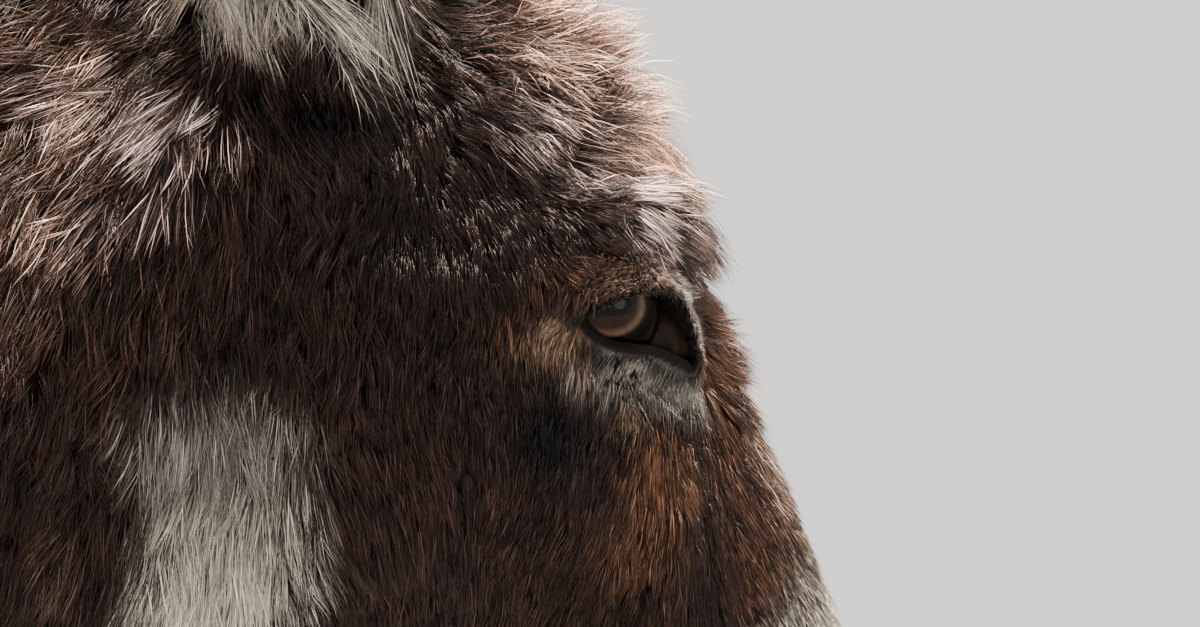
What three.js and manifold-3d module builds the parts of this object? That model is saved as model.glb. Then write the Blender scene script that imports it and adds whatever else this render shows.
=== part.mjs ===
// A standing donkey at life size: dark, thick-coated, with its neck low and its head hanging at rest.
// Millimetres, +X towards the head, +Y to the animal's left, +Z up, with the hooves on z = 0 and the
// origin under the middle of the whole animal. Every solid reaches out to the tips of the coat.
import * as THREE from "three";
import { mergeVertices } from "three/addons/utils/BufferGeometryUtils.js";
import Module from "manifold-3d";

const wasm = await Module();
wasm.setup();

// Driving dimensions.
const HEAD_SLOPE = 64.6; // how far the line of the nose dips below level, in degrees
const HEAD_ORIGIN = [911, 1459]; // x and z of the nose line's upper end, level with the poll
const EYE_RADIUS = 22;
const EYE_ALONG = 178; // from the poll, down the nose line
const EYE_BEHIND = 59; // behind the nose line
const EYE_ASIDE = 74; // from the middle plane to the eyeball's centre
const EAR_LENGTH = 268;
const EAR_WALL = 11; // cartilage and the hair on both its faces
const MANE_HEIGHT = 62;
const CORONET_HEIGHT = 68; // where the hoof ends and the hair begins
const GAP = 0.3; // left between solids that touch

// ---- Small tools ---------------------------------------------------------------------------------

const vec = (x, y, z) => new THREE.Vector3(x, y, z);
const radians = THREE.MathUtils.degToRad;

// A smooth curve through rows of numbers, read at row number t.
function alongRows(rows, t) {
  const last = rows.length - 1;
  const i = Math.min(Math.floor(t), last - 1);
  const f = t - i;
  const [a, b, c, d] = [Math.max(i - 1, 0), i, i + 1, Math.min(i + 2, last)].map((k) => rows[k]);
  return b.map((value, k) => {
    const leaving = (c[k] - a[k]) / 2;
    const arriving = (d[k] - value) / 2;
    const change = c[k] - value;
    const bend = 3 * change - 2 * leaving - arriving;
    return value + f * (leaving + f * (bend + f * (leaving + arriving - 2 * change)));
  });
}

// A closed skin over rings that all have the same number of points.
function loft(rings) {
  const sides = rings[0].length;
  const points = rings.flat();
  const faces = [];
  for (let r = 0; r + 1 < rings.length; r++)
    for (let k = 0; k < sides; k++) {
      const [a, b] = [r * sides + k, r * sides + ((k + 1) % sides)];
      faces.push(a, b, b + sides, a, b + sides, a + sides);
    }
  for (const [r, turned] of [[0, true], [rings.length - 1, false]]) {
    const centre = points.length;
    points.push(rings[r].reduce((sum, p) => sum.clone().add(p), vec(0, 0, 0)).divideScalar(sides));
    for (let k = 0; k < sides; k++) {
      const [a, b] = [r * sides + k, r * sides + ((k + 1) % sides)];
      faces.push(...(turned ? [b, a, centre] : [a, b, centre]));
    }
  }
  return solidOf(new THREE.BufferGeometry().setFromPoints(points).setIndex(faces));
}

// A three.js geometry as a solid that can be cut and joined, turned the right way out.
function solidOf(geometry) {
  const bare = geometry.clone();
  bare.deleteAttribute("normal");
  bare.deleteAttribute("uv");
  const merged = mergeVertices(bare, 1e-4);
  const vertProperties = new Float32Array(merged.attributes.position.array);
  const triVerts = new Uint32Array(merged.index.array);
  const made = new wasm.Manifold(new wasm.Mesh({ numProp: 3, vertProperties, triVerts }));
  if (made.volume() > 0) return made;
  return new wasm.Manifold(new wasm.Mesh({ numProp: 3, vertProperties, triVerts: triVerts.toReversed() }));
}

// The largest piece of a solid, without the crumbs that a cut can leave.
function largest(solid) {
  return solid.decompose().sort((a, b) => b.volume() - a.volume())[0];
}

const BALL_SIDES = 14;

function ellipsoid(centre, radii, turn = new THREE.Quaternion()) {
  const sphere = new THREE.SphereGeometry(1, BALL_SIDES, Math.round(BALL_SIDES * 0.6));
  return solidOf(sphere.applyMatrix4(new THREE.Matrix4().compose(centre, turn, vec(...radii))));
}

// ---- The frame of the head -----------------------------------------------------------------------

// A point of the head: along the nose line from the poll, out in front of that line, and to the left.
function headPoint(along, infront, aside = 0) {
  const [c, s] = [Math.cos(radians(HEAD_SLOPE)), Math.sin(radians(HEAD_SLOPE))];
  return vec(HEAD_ORIGIN[0] + c * along + s * infront, aside, HEAD_ORIGIN[1] - s * along + c * infront);
}

const onHead = (along, infront) => {
  const p = headPoint(along, infront);
  return [p.x, p.z];
};

// ---- Head, neck and trunk ------------------------------------------------------------------------

// Cross-sections from the lips to the buttocks. Each has its upper and its under end in side view, then
// the half-widths near the top, a third of the way down, below the middle and near the bottom.
const SECTIONS = [
  ["lip ends", onHead(549, -60), onHead(547, -92), 30, 34, 34, 28],
  ["lips", onHead(539, -37), onHead(538, -111), 40, 47, 45, 36],
  ["chin", onHead(508, -16), onHead(505, -127), 42, 54, 50, 38],
  ["nostrils", onHead(462, -5), onHead(459, -125), 42, 57, 52, 40],
  ["corners of the mouth", onHead(405, -1), onHead(402, -132), 38, 53, 52, 40],
  ["bridge of the nose", onHead(330, 0), onHead(325, -174), 44, 61, 57, 44],
  ["cheekbones", onHead(262, 1), onHead(266, -218), 60, 80, 74, 50],
  ["eyes", onHead(200, 3), onHead(240, -242), 74, 97, 85, 54],
  ["brows", onHead(143, 15), onHead(232, -256), 76, 99, 88, 58],
  ["forehead", onHead(85, 3), onHead(228, -268), 66, 92, 88, 62],
  ["ears", onHead(20, -36), onHead(230, -282), 54, 86, 87, 66],
  ["nape", [812, 1440], [748, 1104], 42, 78, 87, 68],
  ["throat", [752, 1422], [730, 1078], 34, 75, 88, 68],
  ["middle of the neck", [662, 1386], [692, 1030], 34, 76, 92, 72],
  ["base of the neck", [560, 1336], [655, 968], 42, 92, 108, 84],
  ["collar", [468, 1276], [622, 896], 58, 118, 138, 104],
  ["withers", [392, 1232], [598, 820], 74, 148, 166, 118],
  ["shoulder", [322, 1218], [556, 748], 92, 176, 186, 122],
  ["girth", [246, 1200], [470, 700], 112, 204, 200, 126],
  ["ribs", [166, 1184], [338, 664], 132, 228, 218, 138],
  ["back", [73, 1172], [185, 641], 146, 242, 232, 154],
  ["belly", [-38, 1168], [18, 628], 152, 247, 238, 160],
  ["loin", [-159, 1176], [-145, 638], 156, 240, 230, 150],
  ["flank", [-271, 1192], [-280, 682], 162, 224, 202, 122],
  ["croup", [-373, 1198], [-373, 738], 164, 212, 186, 100],
  ["hips", [-466, 1178], [-448, 786], 150, 202, 178, 92],
  ["tail head", [-544, 1130], [-503, 834], 112, 180, 162, 84],
  ["rump", [-598, 1062], [-546, 880], 70, 136, 128, 70],
  ["buttocks", [-624, 1008], [-587, 920], 36, 70, 70, 40],
];
const sectionRows = SECTIONS.map(([, upper, under, ...widths]) => [...upper, ...under, ...widths]);
const rowOf = (name) => SECTIONS.findIndex(([n]) => n === name);
const BOXINESS = 0.72; // 1 makes plain ellipses, less makes fuller corners

// Bones and muscles that swell the surface, and hollows that dent it: where, how wide, how high.
const FORMS = [
  ["eyelids", headPoint(EYE_ALONG + 4, 8 - EYE_BEHIND, EYE_ASIDE + 22), 28, 7],
  ["brow ridge", headPoint(EYE_ALONG - 30, 6 - EYE_BEHIND, EYE_ASIDE + 20), 26, 6],
  ["hollow over the eye", headPoint(104, -72, 86), 24, -6],
  ["hollow under the eye", headPoint(222, -60, 90), 24, -5],
  ["cheekbone crest", headPoint(262, -82, 74), 30, 6],
  ["chewing muscle", headPoint(205, -165, 82), 52, 9],
  ["jaw corner", headPoint(232, -222, 60), 36, 6],
  ["forehead wool", headPoint(112, 8, 20), 40, 5],
  ["nostril wing", headPoint(474, -34, 50), 20, 6],
  ["hollow of the cheek", headPoint(345, -95, 56), 40, -6],
  ["chin", headPoint(492, -124, 10), 24, 5],
  ["windpipe groove", vec(668, 92, 1130), 60, -8],
  ["shoulder blade", vec(392, 150, 1060), 100, 12],
  ["point of the shoulder", vec(572, 130, 872), 70, 20],
  ["breast groove", vec(640, 0, 850), 50, -14],
  ["upper arm", vec(448, 170, 830), 90, 12],
  ["hollow behind the shoulder", vec(262, 210, 1010), 80, -12],
  ["hip bone", vec(-290, 203, 1122), 52, 14],
  ["hollow of the flank", vec(-226, 236, 985), 80, -16],
  ["haunch", vec(-445, 190, 980), 120, 14],
  ["seat bone", vec(-600, 74, 990), 48, 12],
];

function swell(point, outward) {
  for (const [, at, wide, high] of FORMS)
    for (const side of at.y ? [1, -1] : [1]) {
      const away = point.distanceToSquared(vec(at.x, side * at.y, at.z)) / (wide * wide);
      if (away < 6) point.addScaledVector(outward, high * Math.exp(-away));
    }
  return point;
}

// One ring of the body at row number t, grown on every side by a little where another part is cut by it.
function bodyRing(t, sides, grow) {
  const [ux, uz, lx, lz, top, high, low, keel] = alongRows(sectionRows, t);
  const upper = vec(ux, 0, uz);
  const down = vec(lx - ux, 0, lz - uz);
  const depth = down.length();
  down.normalize();
  const ring = [];
  for (let k = 0; k < sides; k++) {
    const angle = (2 * Math.PI * k) / sides;
    const [share] = alongRows([[0], [1 / 3], [2 / 3], [1]], 1.5 - 1.5 * Math.cos(angle));
    const [width] = alongRows([[top], [high], [low], [keel]], 3 * share);
    const across = Math.sign(Math.sin(angle)) * Math.abs(Math.sin(angle)) ** BOXINESS;
    const outward = vec(0, across, 0).addScaledVector(down, -Math.cos(angle)).normalize();
    const point = upper.clone().addScaledVector(down, depth * share);
    point.y = width * across;
    ring.push(swell(point, outward).addScaledVector(outward, grow));
  }
  return ring;
}

// The body's lengths: the sections that each runs between, and how many rings and sides it is made of.
// The neck stops short of its two sections by a thin cut.
const SEAM = 0.004; // of the way from one section to the next
const BODY_LENGTHS = {
  head: { from: "lip ends", to: "nape", inset: 0, rings: 31, sides: 26 },
  neck: { from: "nape", to: "collar", inset: SEAM, rings: 8, sides: 26 },
  trunk: { from: "collar", to: "buttocks", inset: 0, rings: 25, sides: 26 },
};

function bodyLength(name, grow = 0) {
  const { from, to, inset, rings, sides } = BODY_LENGTHS[name];
  const [start, end] = [rowOf(from) + inset, rowOf(to) - inset];
  const steps = Array.from({ length: rings + 1 }, (_, i) => start + ((end - start) * i) / rings);
  return loft(steps.map((t) => bodyRing(t, sides, grow)));
}

// Each length a gap larger all over, to cut away from what meets it.
const [headCutter, neckCutter, trunkCutter] = Object.keys(BODY_LENGTHS).map((name) => bodyLength(name, GAP));

// ---- Eyes ----------------------------------------------------------------------------------------

// The way an eye looks: out to its side, turned forward, and a little down with the head.
function gaze(side) {
  const forward = headPoint(0, 1).sub(headPoint(0, 0));
  const downward = headPoint(1, 0).sub(headPoint(0, 0));
  return vec(0, side, 0).addScaledVector(forward, 0.3).addScaledVector(downward, 0.12).normalize();
}

const eyeCentre = (side) => headPoint(EYE_ALONG, -EYE_BEHIND, side * EYE_ASIDE);
const ball = (side, radius) => ellipsoid(eyeCentre(side), [radius, radius, radius]);

// The open slit between the lids: a flat almond in front of the eyeball, halfway from level to the nose line.
function lidOpening(side) {
  const out = gaze(side);
  const corner = headPoint(1, 0.9).sub(headPoint(0, 0));
  corner.addScaledVector(out, -corner.dot(out)).normalize();
  const turn = new THREE.Matrix4().makeBasis(corner, out.clone().cross(corner), out);
  const centre = eyeCentre(side).addScaledVector(out, EYE_RADIUS + 2).addScaledVector(corner, 3);
  return ellipsoid(centre, [24, 11.5, 14], new THREE.Quaternion().setFromRotationMatrix(turn));
}

// ---- Ears ----------------------------------------------------------------------------------------

// Down the ear from its root: share of its length, half-width, and how far round the wall wraps.
const EAR_ROWS = [
  [0.0, 34, 165],
  [0.16, 38, 140],
  [0.32, 45, 104],
  [0.5, 47, 82],
  [0.68, 42, 66],
  [0.84, 30, 56],
  [0.95, 15, 50],
  [1.0, 5, 46],
];

const EAR_STEP = 0.7; // of a row, from one ring to the next
const EAR_ARC = 6; // flats across each face

function ear(side) {
  const root = headPoint(24, -108, side * 54);
  const axis = vec(-0.36, side * 0.36, 0.86).normalize();
  const mouth = vec(0.3, side * 0.95, 0);
  mouth.addScaledVector(axis, -mouth.dot(axis)).normalize();
  const across = axis.clone().cross(mouth);
  const rings = [];
  for (let t = 0; t <= EAR_ROWS.length - 1; t += EAR_STEP) {
    const [share, wide, wrap] = alongRows(EAR_ROWS, t);
    const reach = radians(wrap);
    const radius = wide / Math.sin(Math.min(reach, Math.PI / 2));
    const centre = root.clone().addScaledVector(axis, share * EAR_LENGTH);
    centre.addScaledVector(axis, -30 * (1 - share));
    centre.addScaledVector(mouth, 16 * Math.sin(Math.PI * share) + radius - wide);
    const wall = Math.min(EAR_WALL, wide * 0.9);
    const ring = [];
    for (const [r, from, to] of [[radius, -reach, reach], [radius - wall, reach, -reach]])
      for (let k = 0; k <= EAR_ARC; k++) {
        const angle = from + ((to - from) * k) / EAR_ARC;
        const point = centre.clone().addScaledVector(mouth, -r * Math.cos(angle));
        ring.push(point.addScaledVector(across, r * Math.sin(angle)));
      }
    rings.push(ring);
  }
  return loft(rings);
}

// ---- Legs ----------------------------------------------------------------------------------------

// Down each leg: x, y and z of its middle, then half its depth fore and aft and half its width.
const FORE_ROWS = [
  [448, 112, 900, 92, 62],
  [424, 122, 800, 92, 64],
  [396, 124, 720, 78, 58],
  [382, 120, 640, 59, 49],
  [378, 115, 550, 46, 40],
  [379, 112, 460, 37, 34],
  [382, 110, 412, 37, 35],
  [385, 109, 376, 39, 37],
  [382, 108, 338, 32, 32],
  [378, 107, 285, 26, 25],
  [377, 107, 215, 25, 24],
  [377, 107, 172, 30, 28],
  [381, 107, 142, 33, 31],
  [396, 107, 106, 29, 29],
  [414, 107, CORONET_HEIGHT, 37, 35],
];
const HIND_ROWS = [
  [-392, 104, 1040, 132, 76],
  [-414, 122, 940, 154, 80],
  [-424, 130, 850, 152, 80],
  [-424, 133, 770, 130, 72],
  [-440, 131, 690, 96, 60],
  [-478, 125, 610, 68, 46],
  [-522, 119, 540, 51, 35],
  [-556, 115, 488, 47, 32],
  [-574, 113, 446, 47, 34],
  [-579, 112, 402, 38, 33],
  [-578, 111, 352, 30, 27],
  [-578, 111, 280, 27, 24],
  [-580, 111, 212, 27, 24],
  [-580, 111, 172, 31, 28],
  [-576, 111, 142, 34, 31],
  [-561, 111, 106, 29, 29],
  [-544, 111, CORONET_HEIGHT, 36, 33],
];
// Joints that stand out from a leg's even taper: x, y, z, how wide, how high, towards which way.
const LEG_FORMS = [
  ["elbow", vec(318, 150, 742), 38, 15, vec(-1, 0.2, 0)],
  ["knee", vec(424, 109, 388), 26, 5, vec(1, 0, 0)],
  ["back of the knee", vec(346, 109, 366), 20, 6, vec(-1, 0, 0)],
  ["fetlock tuft", vec(344, 107, 146), 20, 9, vec(-1, 0, -0.3)],
  ["stifle", vec(-292, 150, 800), 52, 16, vec(1, 0.3, 0)],
  ["point of the hock", vec(-618, 113, 488), 27, 26, vec(-1, 0, 0.25)],
  ["hind fetlock tuft", vec(-614, 111, 146), 20, 9, vec(-1, 0, -0.3)],
];
const STANCE = { fore_left: 8, fore_right: -26, hind_left: -30, hind_right: 26 }; // each hoof, set forward
const LEG_SIDES = 12;
const LEG_STEP = 0.7; // of a row, from one ring to the next

// Moves a point of a leg forward in proportion to how far it is below the body.
function stepped(point, step, top) {
  point.x += step * Math.max(0, 1 - point.z / top);
  return point;
}

function leg(rows, side, step) {
  const top = rows[1][2];
  const rings = [];
  const steps = Math.round((rows.length - 1) / LEG_STEP);
  for (let i = 0; i <= steps; i++) {
    const [x, y, z, deep, wide] = alongRows(rows, ((rows.length - 1) * i) / steps);
    const ring = [];
    for (let k = 0; k < LEG_SIDES; k++) {
      const angle = (2 * Math.PI * k) / LEG_SIDES;
      const outward = vec(Math.cos(angle), side * Math.sin(angle), 0);
      const taper = 1 + 0.12 * Math.cos(angle); // flatter in front, narrower behind over the tendons
      const point = vec(x + deep * outward.x, side * y + wide * taper * outward.y, z);
      for (const [, at, size, high, way] of LEG_FORMS) {
        const away = point.distanceToSquared(vec(at.x, side * at.y, at.z)) / (size * size);
        const push = vec(way.x, side * way.y, way.z).normalize();
        if (away < 6) point.addScaledVector(push, high * Math.exp(-away));
      }
      if (i === steps) point.z = CORONET_HEIGHT + GAP;
      ring.push(stepped(point, step, top));
    }
    rings.push(ring);
  }
  return largest(loft(rings).subtract(trunkCutter).subtract(neckCutter));
}

// A narrow, upright hoof: it widens to the ground and its toe runs forward.
const HOOF_SIDES = 18;

function hoof(rows, side, step, slim) {
  const [x, y, , deep, wide] = rows.at(-1);
  const rings = [];
  for (const down of [0, 0.4, 1]) {
    const ring = [];
    for (let k = 0; k < HOOF_SIDES; k++) {
      const angle = (2 * Math.PI * k) / HOOF_SIDES;
      const square = Math.cos(angle) < -0.5 ? 0.93 : 1; // the heels are cut off flatter than the toe
      const point = vec(x + 13 * down, side * y, CORONET_HEIGHT * (1 - down));
      point.x += (deep + 11 * down) * square * Math.cos(angle);
      point.y += (wide + 6 * down) * slim * Math.sin(angle);
      ring.push(stepped(point, step, rows[1][2]));
    }
    rings.push(ring);
  }
  return loft(rings);
}

// ---- Tail and mane -------------------------------------------------------------------------------

// Down the tail: x and z of its middle, half its thickness fore and aft, half its width.
const TAIL_ROWS = [
  [-552, 1108, 30, 34],
  [-604, 1068, 31, 34],
  [-641, 1002, 27, 29],
  [-658, 915, 21, 23],
  [-663, 820, 17, 19],
  [-664, 730, 15, 17],
  [-663, 650, 16, 18],
];
const TUFT_ROWS = [
  [-663, 650 - GAP, 17, 19],
  [-662, 600, 24, 26],
  [-660, 530, 30, 33],
  [-658, 450, 30, 33],
  [-656, 380, 21, 23],
  [-654, 330, 6, 7],
];

const TAIL_SIDES = 10;

function hanging(rows) {
  const rings = [];
  for (let t = 0; t <= rows.length - 1; t += 0.5) {
    const [x, z, deep, wide] = alongRows(rows, t);
    const [ax, az] = alongRows(rows, Math.max(t - 0.25, 0));
    const [bx, bz] = alongRows(rows, Math.min(t + 0.25, rows.length - 1));
    const plumb = rows === TUFT_ROWS || t === rows.length - 1; // its ends, where they meet, are level
    const along = plumb ? vec(0, 0, -1) : vec(bx - ax, 0, bz - az).normalize();
    const back = vec(along.z, 0, -along.x);
    const ring = [];
    for (let k = 0; k < TAIL_SIDES; k++) {
      const angle = (2 * Math.PI * k) / TAIL_SIDES;
      const point = vec(x, wide * Math.sin(angle), z);
      ring.push(point.addScaledVector(back, deep * Math.cos(angle)));
    }
    rings.push(ring);
  }
  return loft(rings);
}

// The short upright mane, a comb along the crest from between the ears to the withers.
const MANE_RINGS = 18;
const MANE_SIDES = 8;

function mane() {
  const [first, last] = [rowOf("ears") - 0.35, rowOf("withers") - 0.35];
  const rings = [];
  for (let i = 0; i <= MANE_RINGS; i++) {
    const share = i / MANE_RINGS;
    const [ux, uz, lx, lz] = alongRows(sectionRows, first + (last - first) * share);
    const up = vec(ux - lx, 0, uz - lz).normalize();
    const height = MANE_HEIGHT * Math.min(1, Math.sin(Math.PI * share) ** 0.55 + 0.12);
    const ring = [];
    for (let k = 0; k < MANE_SIDES; k++) {
      const angle = (2 * Math.PI * k) / MANE_SIDES;
      const rise = Math.cos(angle);
      const half = 17 * (1 - 0.45 * Math.max(rise, 0)) * Math.sin(angle);
      ring.push(vec(ux, half, uz).addScaledVector(up, rise > 0 ? height * rise : 24 * rise));
    }
    rings.push(ring);
  }
  const comb = loft(rings).subtract(headCutter).subtract(neckCutter).subtract(trunkCutter);
  return largest(comb);
}

// ---- The parts -----------------------------------------------------------------------------------

const FINISH = {
  coat: { color: 0x3a2a22, roughness: 0.85, metalness: 0 },
  crest: { color: 0x1f1714, roughness: 0.85, metalness: 0 },
  hoof: { color: 0x3b3733, roughness: 0.55, metalness: 0 },
  eye: { color: 0x1c120c, roughness: 0.08, metalness: 0 },
};
const donkey = new THREE.Group();

function add(name, solid, finish) {
  const { vertProperties, triVerts, numProp } = solid.getMesh();
  const points = [];
  for (let i = 0; i < vertProperties.length; i += numProp) points.push(...vertProperties.subarray(i, i + 3));
  const geometry = new THREE.BufferGeometry();
  geometry.setAttribute("position", new THREE.Float32BufferAttribute(points, 3));
  geometry.setIndex(new THREE.BufferAttribute(triVerts, 1));
  geometry.computeVertexNormals();
  const mesh = new THREE.Mesh(geometry, new THREE.MeshStandardMaterial(FINISH[finish]));
  mesh.name = name;
  donkey.add(mesh);
}

let head = bodyLength("head");
for (const side of [1, -1]) {
  const socket = ball(side, EYE_RADIUS + GAP);
  const nostril = ellipsoid(headPoint(478, -34, side * 59), [9, 13, 19]);
  head = head.subtract(socket).subtract(lidOpening(side)).subtract(nostril);
}
add("head", largest(head), "coat");
add("neck", bodyLength("neck"), "coat");
add("trunk", bodyLength("trunk"), "coat");
for (const [name, side] of [["left", 1], ["right", -1]]) {
  add("eye_" + name, ball(side, EYE_RADIUS), "eye");
  add("ear_" + name, largest(ear(side).subtract(headCutter).subtract(neckCutter)), "coat");
}
for (const [name, step] of Object.entries(STANCE)) {
  const rows = name.startsWith("fore") ? FORE_ROWS : HIND_ROWS;
  const side = name.endsWith("left") ? 1 : -1;
  add("leg_" + name, leg(rows, side, step), "coat");
  add("hoof_" + name, hoof(rows, side, step, name.startsWith("fore") ? 1 : 0.94), "hoof");
}
add("mane", mane(), "crest");
add("tail", largest(hanging(TAIL_ROWS).subtract(trunkCutter)), "coat");
add("tail_tuft", hanging(TUFT_ROWS), "crest");

const box = new THREE.Box3().setFromObject(donkey);
donkey.position.x = -(box.min.x + box.max.x) / 2;

export default donkey;
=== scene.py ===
"""A life-size donkey in its shaggy coat, standing square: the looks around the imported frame."""
import math
import bmesh
import bpy
import numpy as np
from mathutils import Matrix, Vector, kdtree
from mathutils.bvhtree import BVHTree


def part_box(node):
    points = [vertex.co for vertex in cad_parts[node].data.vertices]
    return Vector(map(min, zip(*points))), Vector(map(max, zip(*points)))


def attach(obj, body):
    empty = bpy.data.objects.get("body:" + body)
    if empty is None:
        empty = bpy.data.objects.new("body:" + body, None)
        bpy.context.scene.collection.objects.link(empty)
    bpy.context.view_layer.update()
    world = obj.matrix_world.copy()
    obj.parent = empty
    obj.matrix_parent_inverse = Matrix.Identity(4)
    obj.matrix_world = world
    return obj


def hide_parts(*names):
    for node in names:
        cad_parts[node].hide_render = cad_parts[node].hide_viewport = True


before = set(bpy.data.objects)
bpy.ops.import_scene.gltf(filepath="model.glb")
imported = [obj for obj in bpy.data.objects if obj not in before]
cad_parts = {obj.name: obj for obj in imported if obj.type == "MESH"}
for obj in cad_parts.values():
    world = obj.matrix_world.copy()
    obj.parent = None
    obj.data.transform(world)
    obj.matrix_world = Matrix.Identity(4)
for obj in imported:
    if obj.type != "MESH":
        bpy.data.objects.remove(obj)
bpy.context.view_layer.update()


# The studio: a very wide pale floor under a pale sky of the same tone, so that no horizon shows
# behind the animal. Two warm lights stand above it and behind it, and a wide cool one and a window
# fill the near side.
FLOOR_REACH = 400.0
SKY_COLOUR = (1.0, 0.975, 0.95)
SKY_STRENGTH = 1.40
SUNS = {
    # light: the way to it, its strength and colour, and how wide it looks, in degrees
    "sun_above": ((0.25, 0.06, 0.96), 18.0, (1.0, 0.90, 0.80), 4),
    "sun_behind": ((0.72, 0.38, 0.58), 7.0, (1.0, 0.84, 0.70), 6),
    "sky_front": ((-0.1, -0.75, 0.65), 0.15, (0.9, 0.95, 1.0), 60),
    "window": ((0.22, -0.93, 0.17), 0.50, (0.88, 0.97, 0.92), 22),
}


def deselect():
    if bpy.context.object and bpy.context.object.mode != "OBJECT":
        bpy.ops.object.mode_set(mode="OBJECT")
    bpy.ops.object.select_all(action="DESELECT")


world = bpy.data.worlds.new("studio")
bpy.context.scene.world = world
world.use_nodes = True
world.node_tree.nodes["Background"].inputs["Color"].default_value = (*SKY_COLOUR, 1)
world.node_tree.nodes["Background"].inputs["Strength"].default_value = SKY_STRENGTH
sky_light = SKY_STRENGTH * np.array(SKY_COLOUR)
floor_light = sky_light.copy()
for name, (towards, strength, colour, angle) in SUNS.items():
    bpy.ops.object.light_add(type="SUN", location=(0, 0, 5))
    sun = bpy.context.object
    sun.name = name
    sun.rotation_euler = Vector(towards).to_track_quat("Z", "Y").to_euler()
    sun.data.energy = strength
    sun.data.color = colour
    sun.data.angle = math.radians(angle)
    floor_light += np.array(colour) * strength * Vector(towards).normalized().z / math.pi

deselect()
bpy.ops.mesh.primitive_circle_add(vertices=128, radius=FLOOR_REACH, fill_type="TRIFAN")
floor = bpy.context.object
floor.name = "floor"
paint = bpy.data.materials.new("studio_floor")
paint.use_nodes = True
matt = paint.node_tree.nodes.new("ShaderNodeBsdfDiffuse")
matt.inputs["Color"].default_value = (*(sky_light / floor_light), 1)
surface = paint.node_tree.nodes["Material Output"].inputs["Surface"]
paint.node_tree.links.new(matt.outputs["BSDF"], surface)
floor.data.materials.append(paint)


# The camera looks level across the right side of the head from a little behind it, from far
# enough away that the face keeps its true proportions.
CAMERA_TURN = math.radians(20)
CAMERA_AWAY = 3.0
FRAME_WIDTH = 0.444
FRAME_BACK = 0.0007
FRAME_DOWN = 0.0017
SENSOR_WIDTH = 36
VIEW_DEPTH = 500

eye_low, eye_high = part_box("eye_right")
right_eye = np.array((eye_low + eye_high) / 2)
EYE_RADIUS = (eye_high.y - eye_low.y) / 2
to_camera = np.array((-math.sin(CAMERA_TURN), -math.cos(CAMERA_TURN), 0))
across_view = np.array((math.cos(CAMERA_TURN), -math.sin(CAMERA_TURN), 0))
aim = right_eye - FRAME_BACK * across_view - np.array((0, 0, FRAME_DOWN))
bpy.ops.object.camera_add(location=aim + CAMERA_AWAY * to_camera)
camera = bpy.context.object
camera.rotation_euler = Vector(to_camera).to_track_quat("Z", "Y").to_euler()
camera.data.sensor_width = SENSOR_WIDTH
camera.data.lens = SENSOR_WIDTH * CAMERA_AWAY / FRAME_WIDTH
camera.data.clip_end = VIEW_DEPTH
bpy.context.scene.camera = camera


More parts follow.
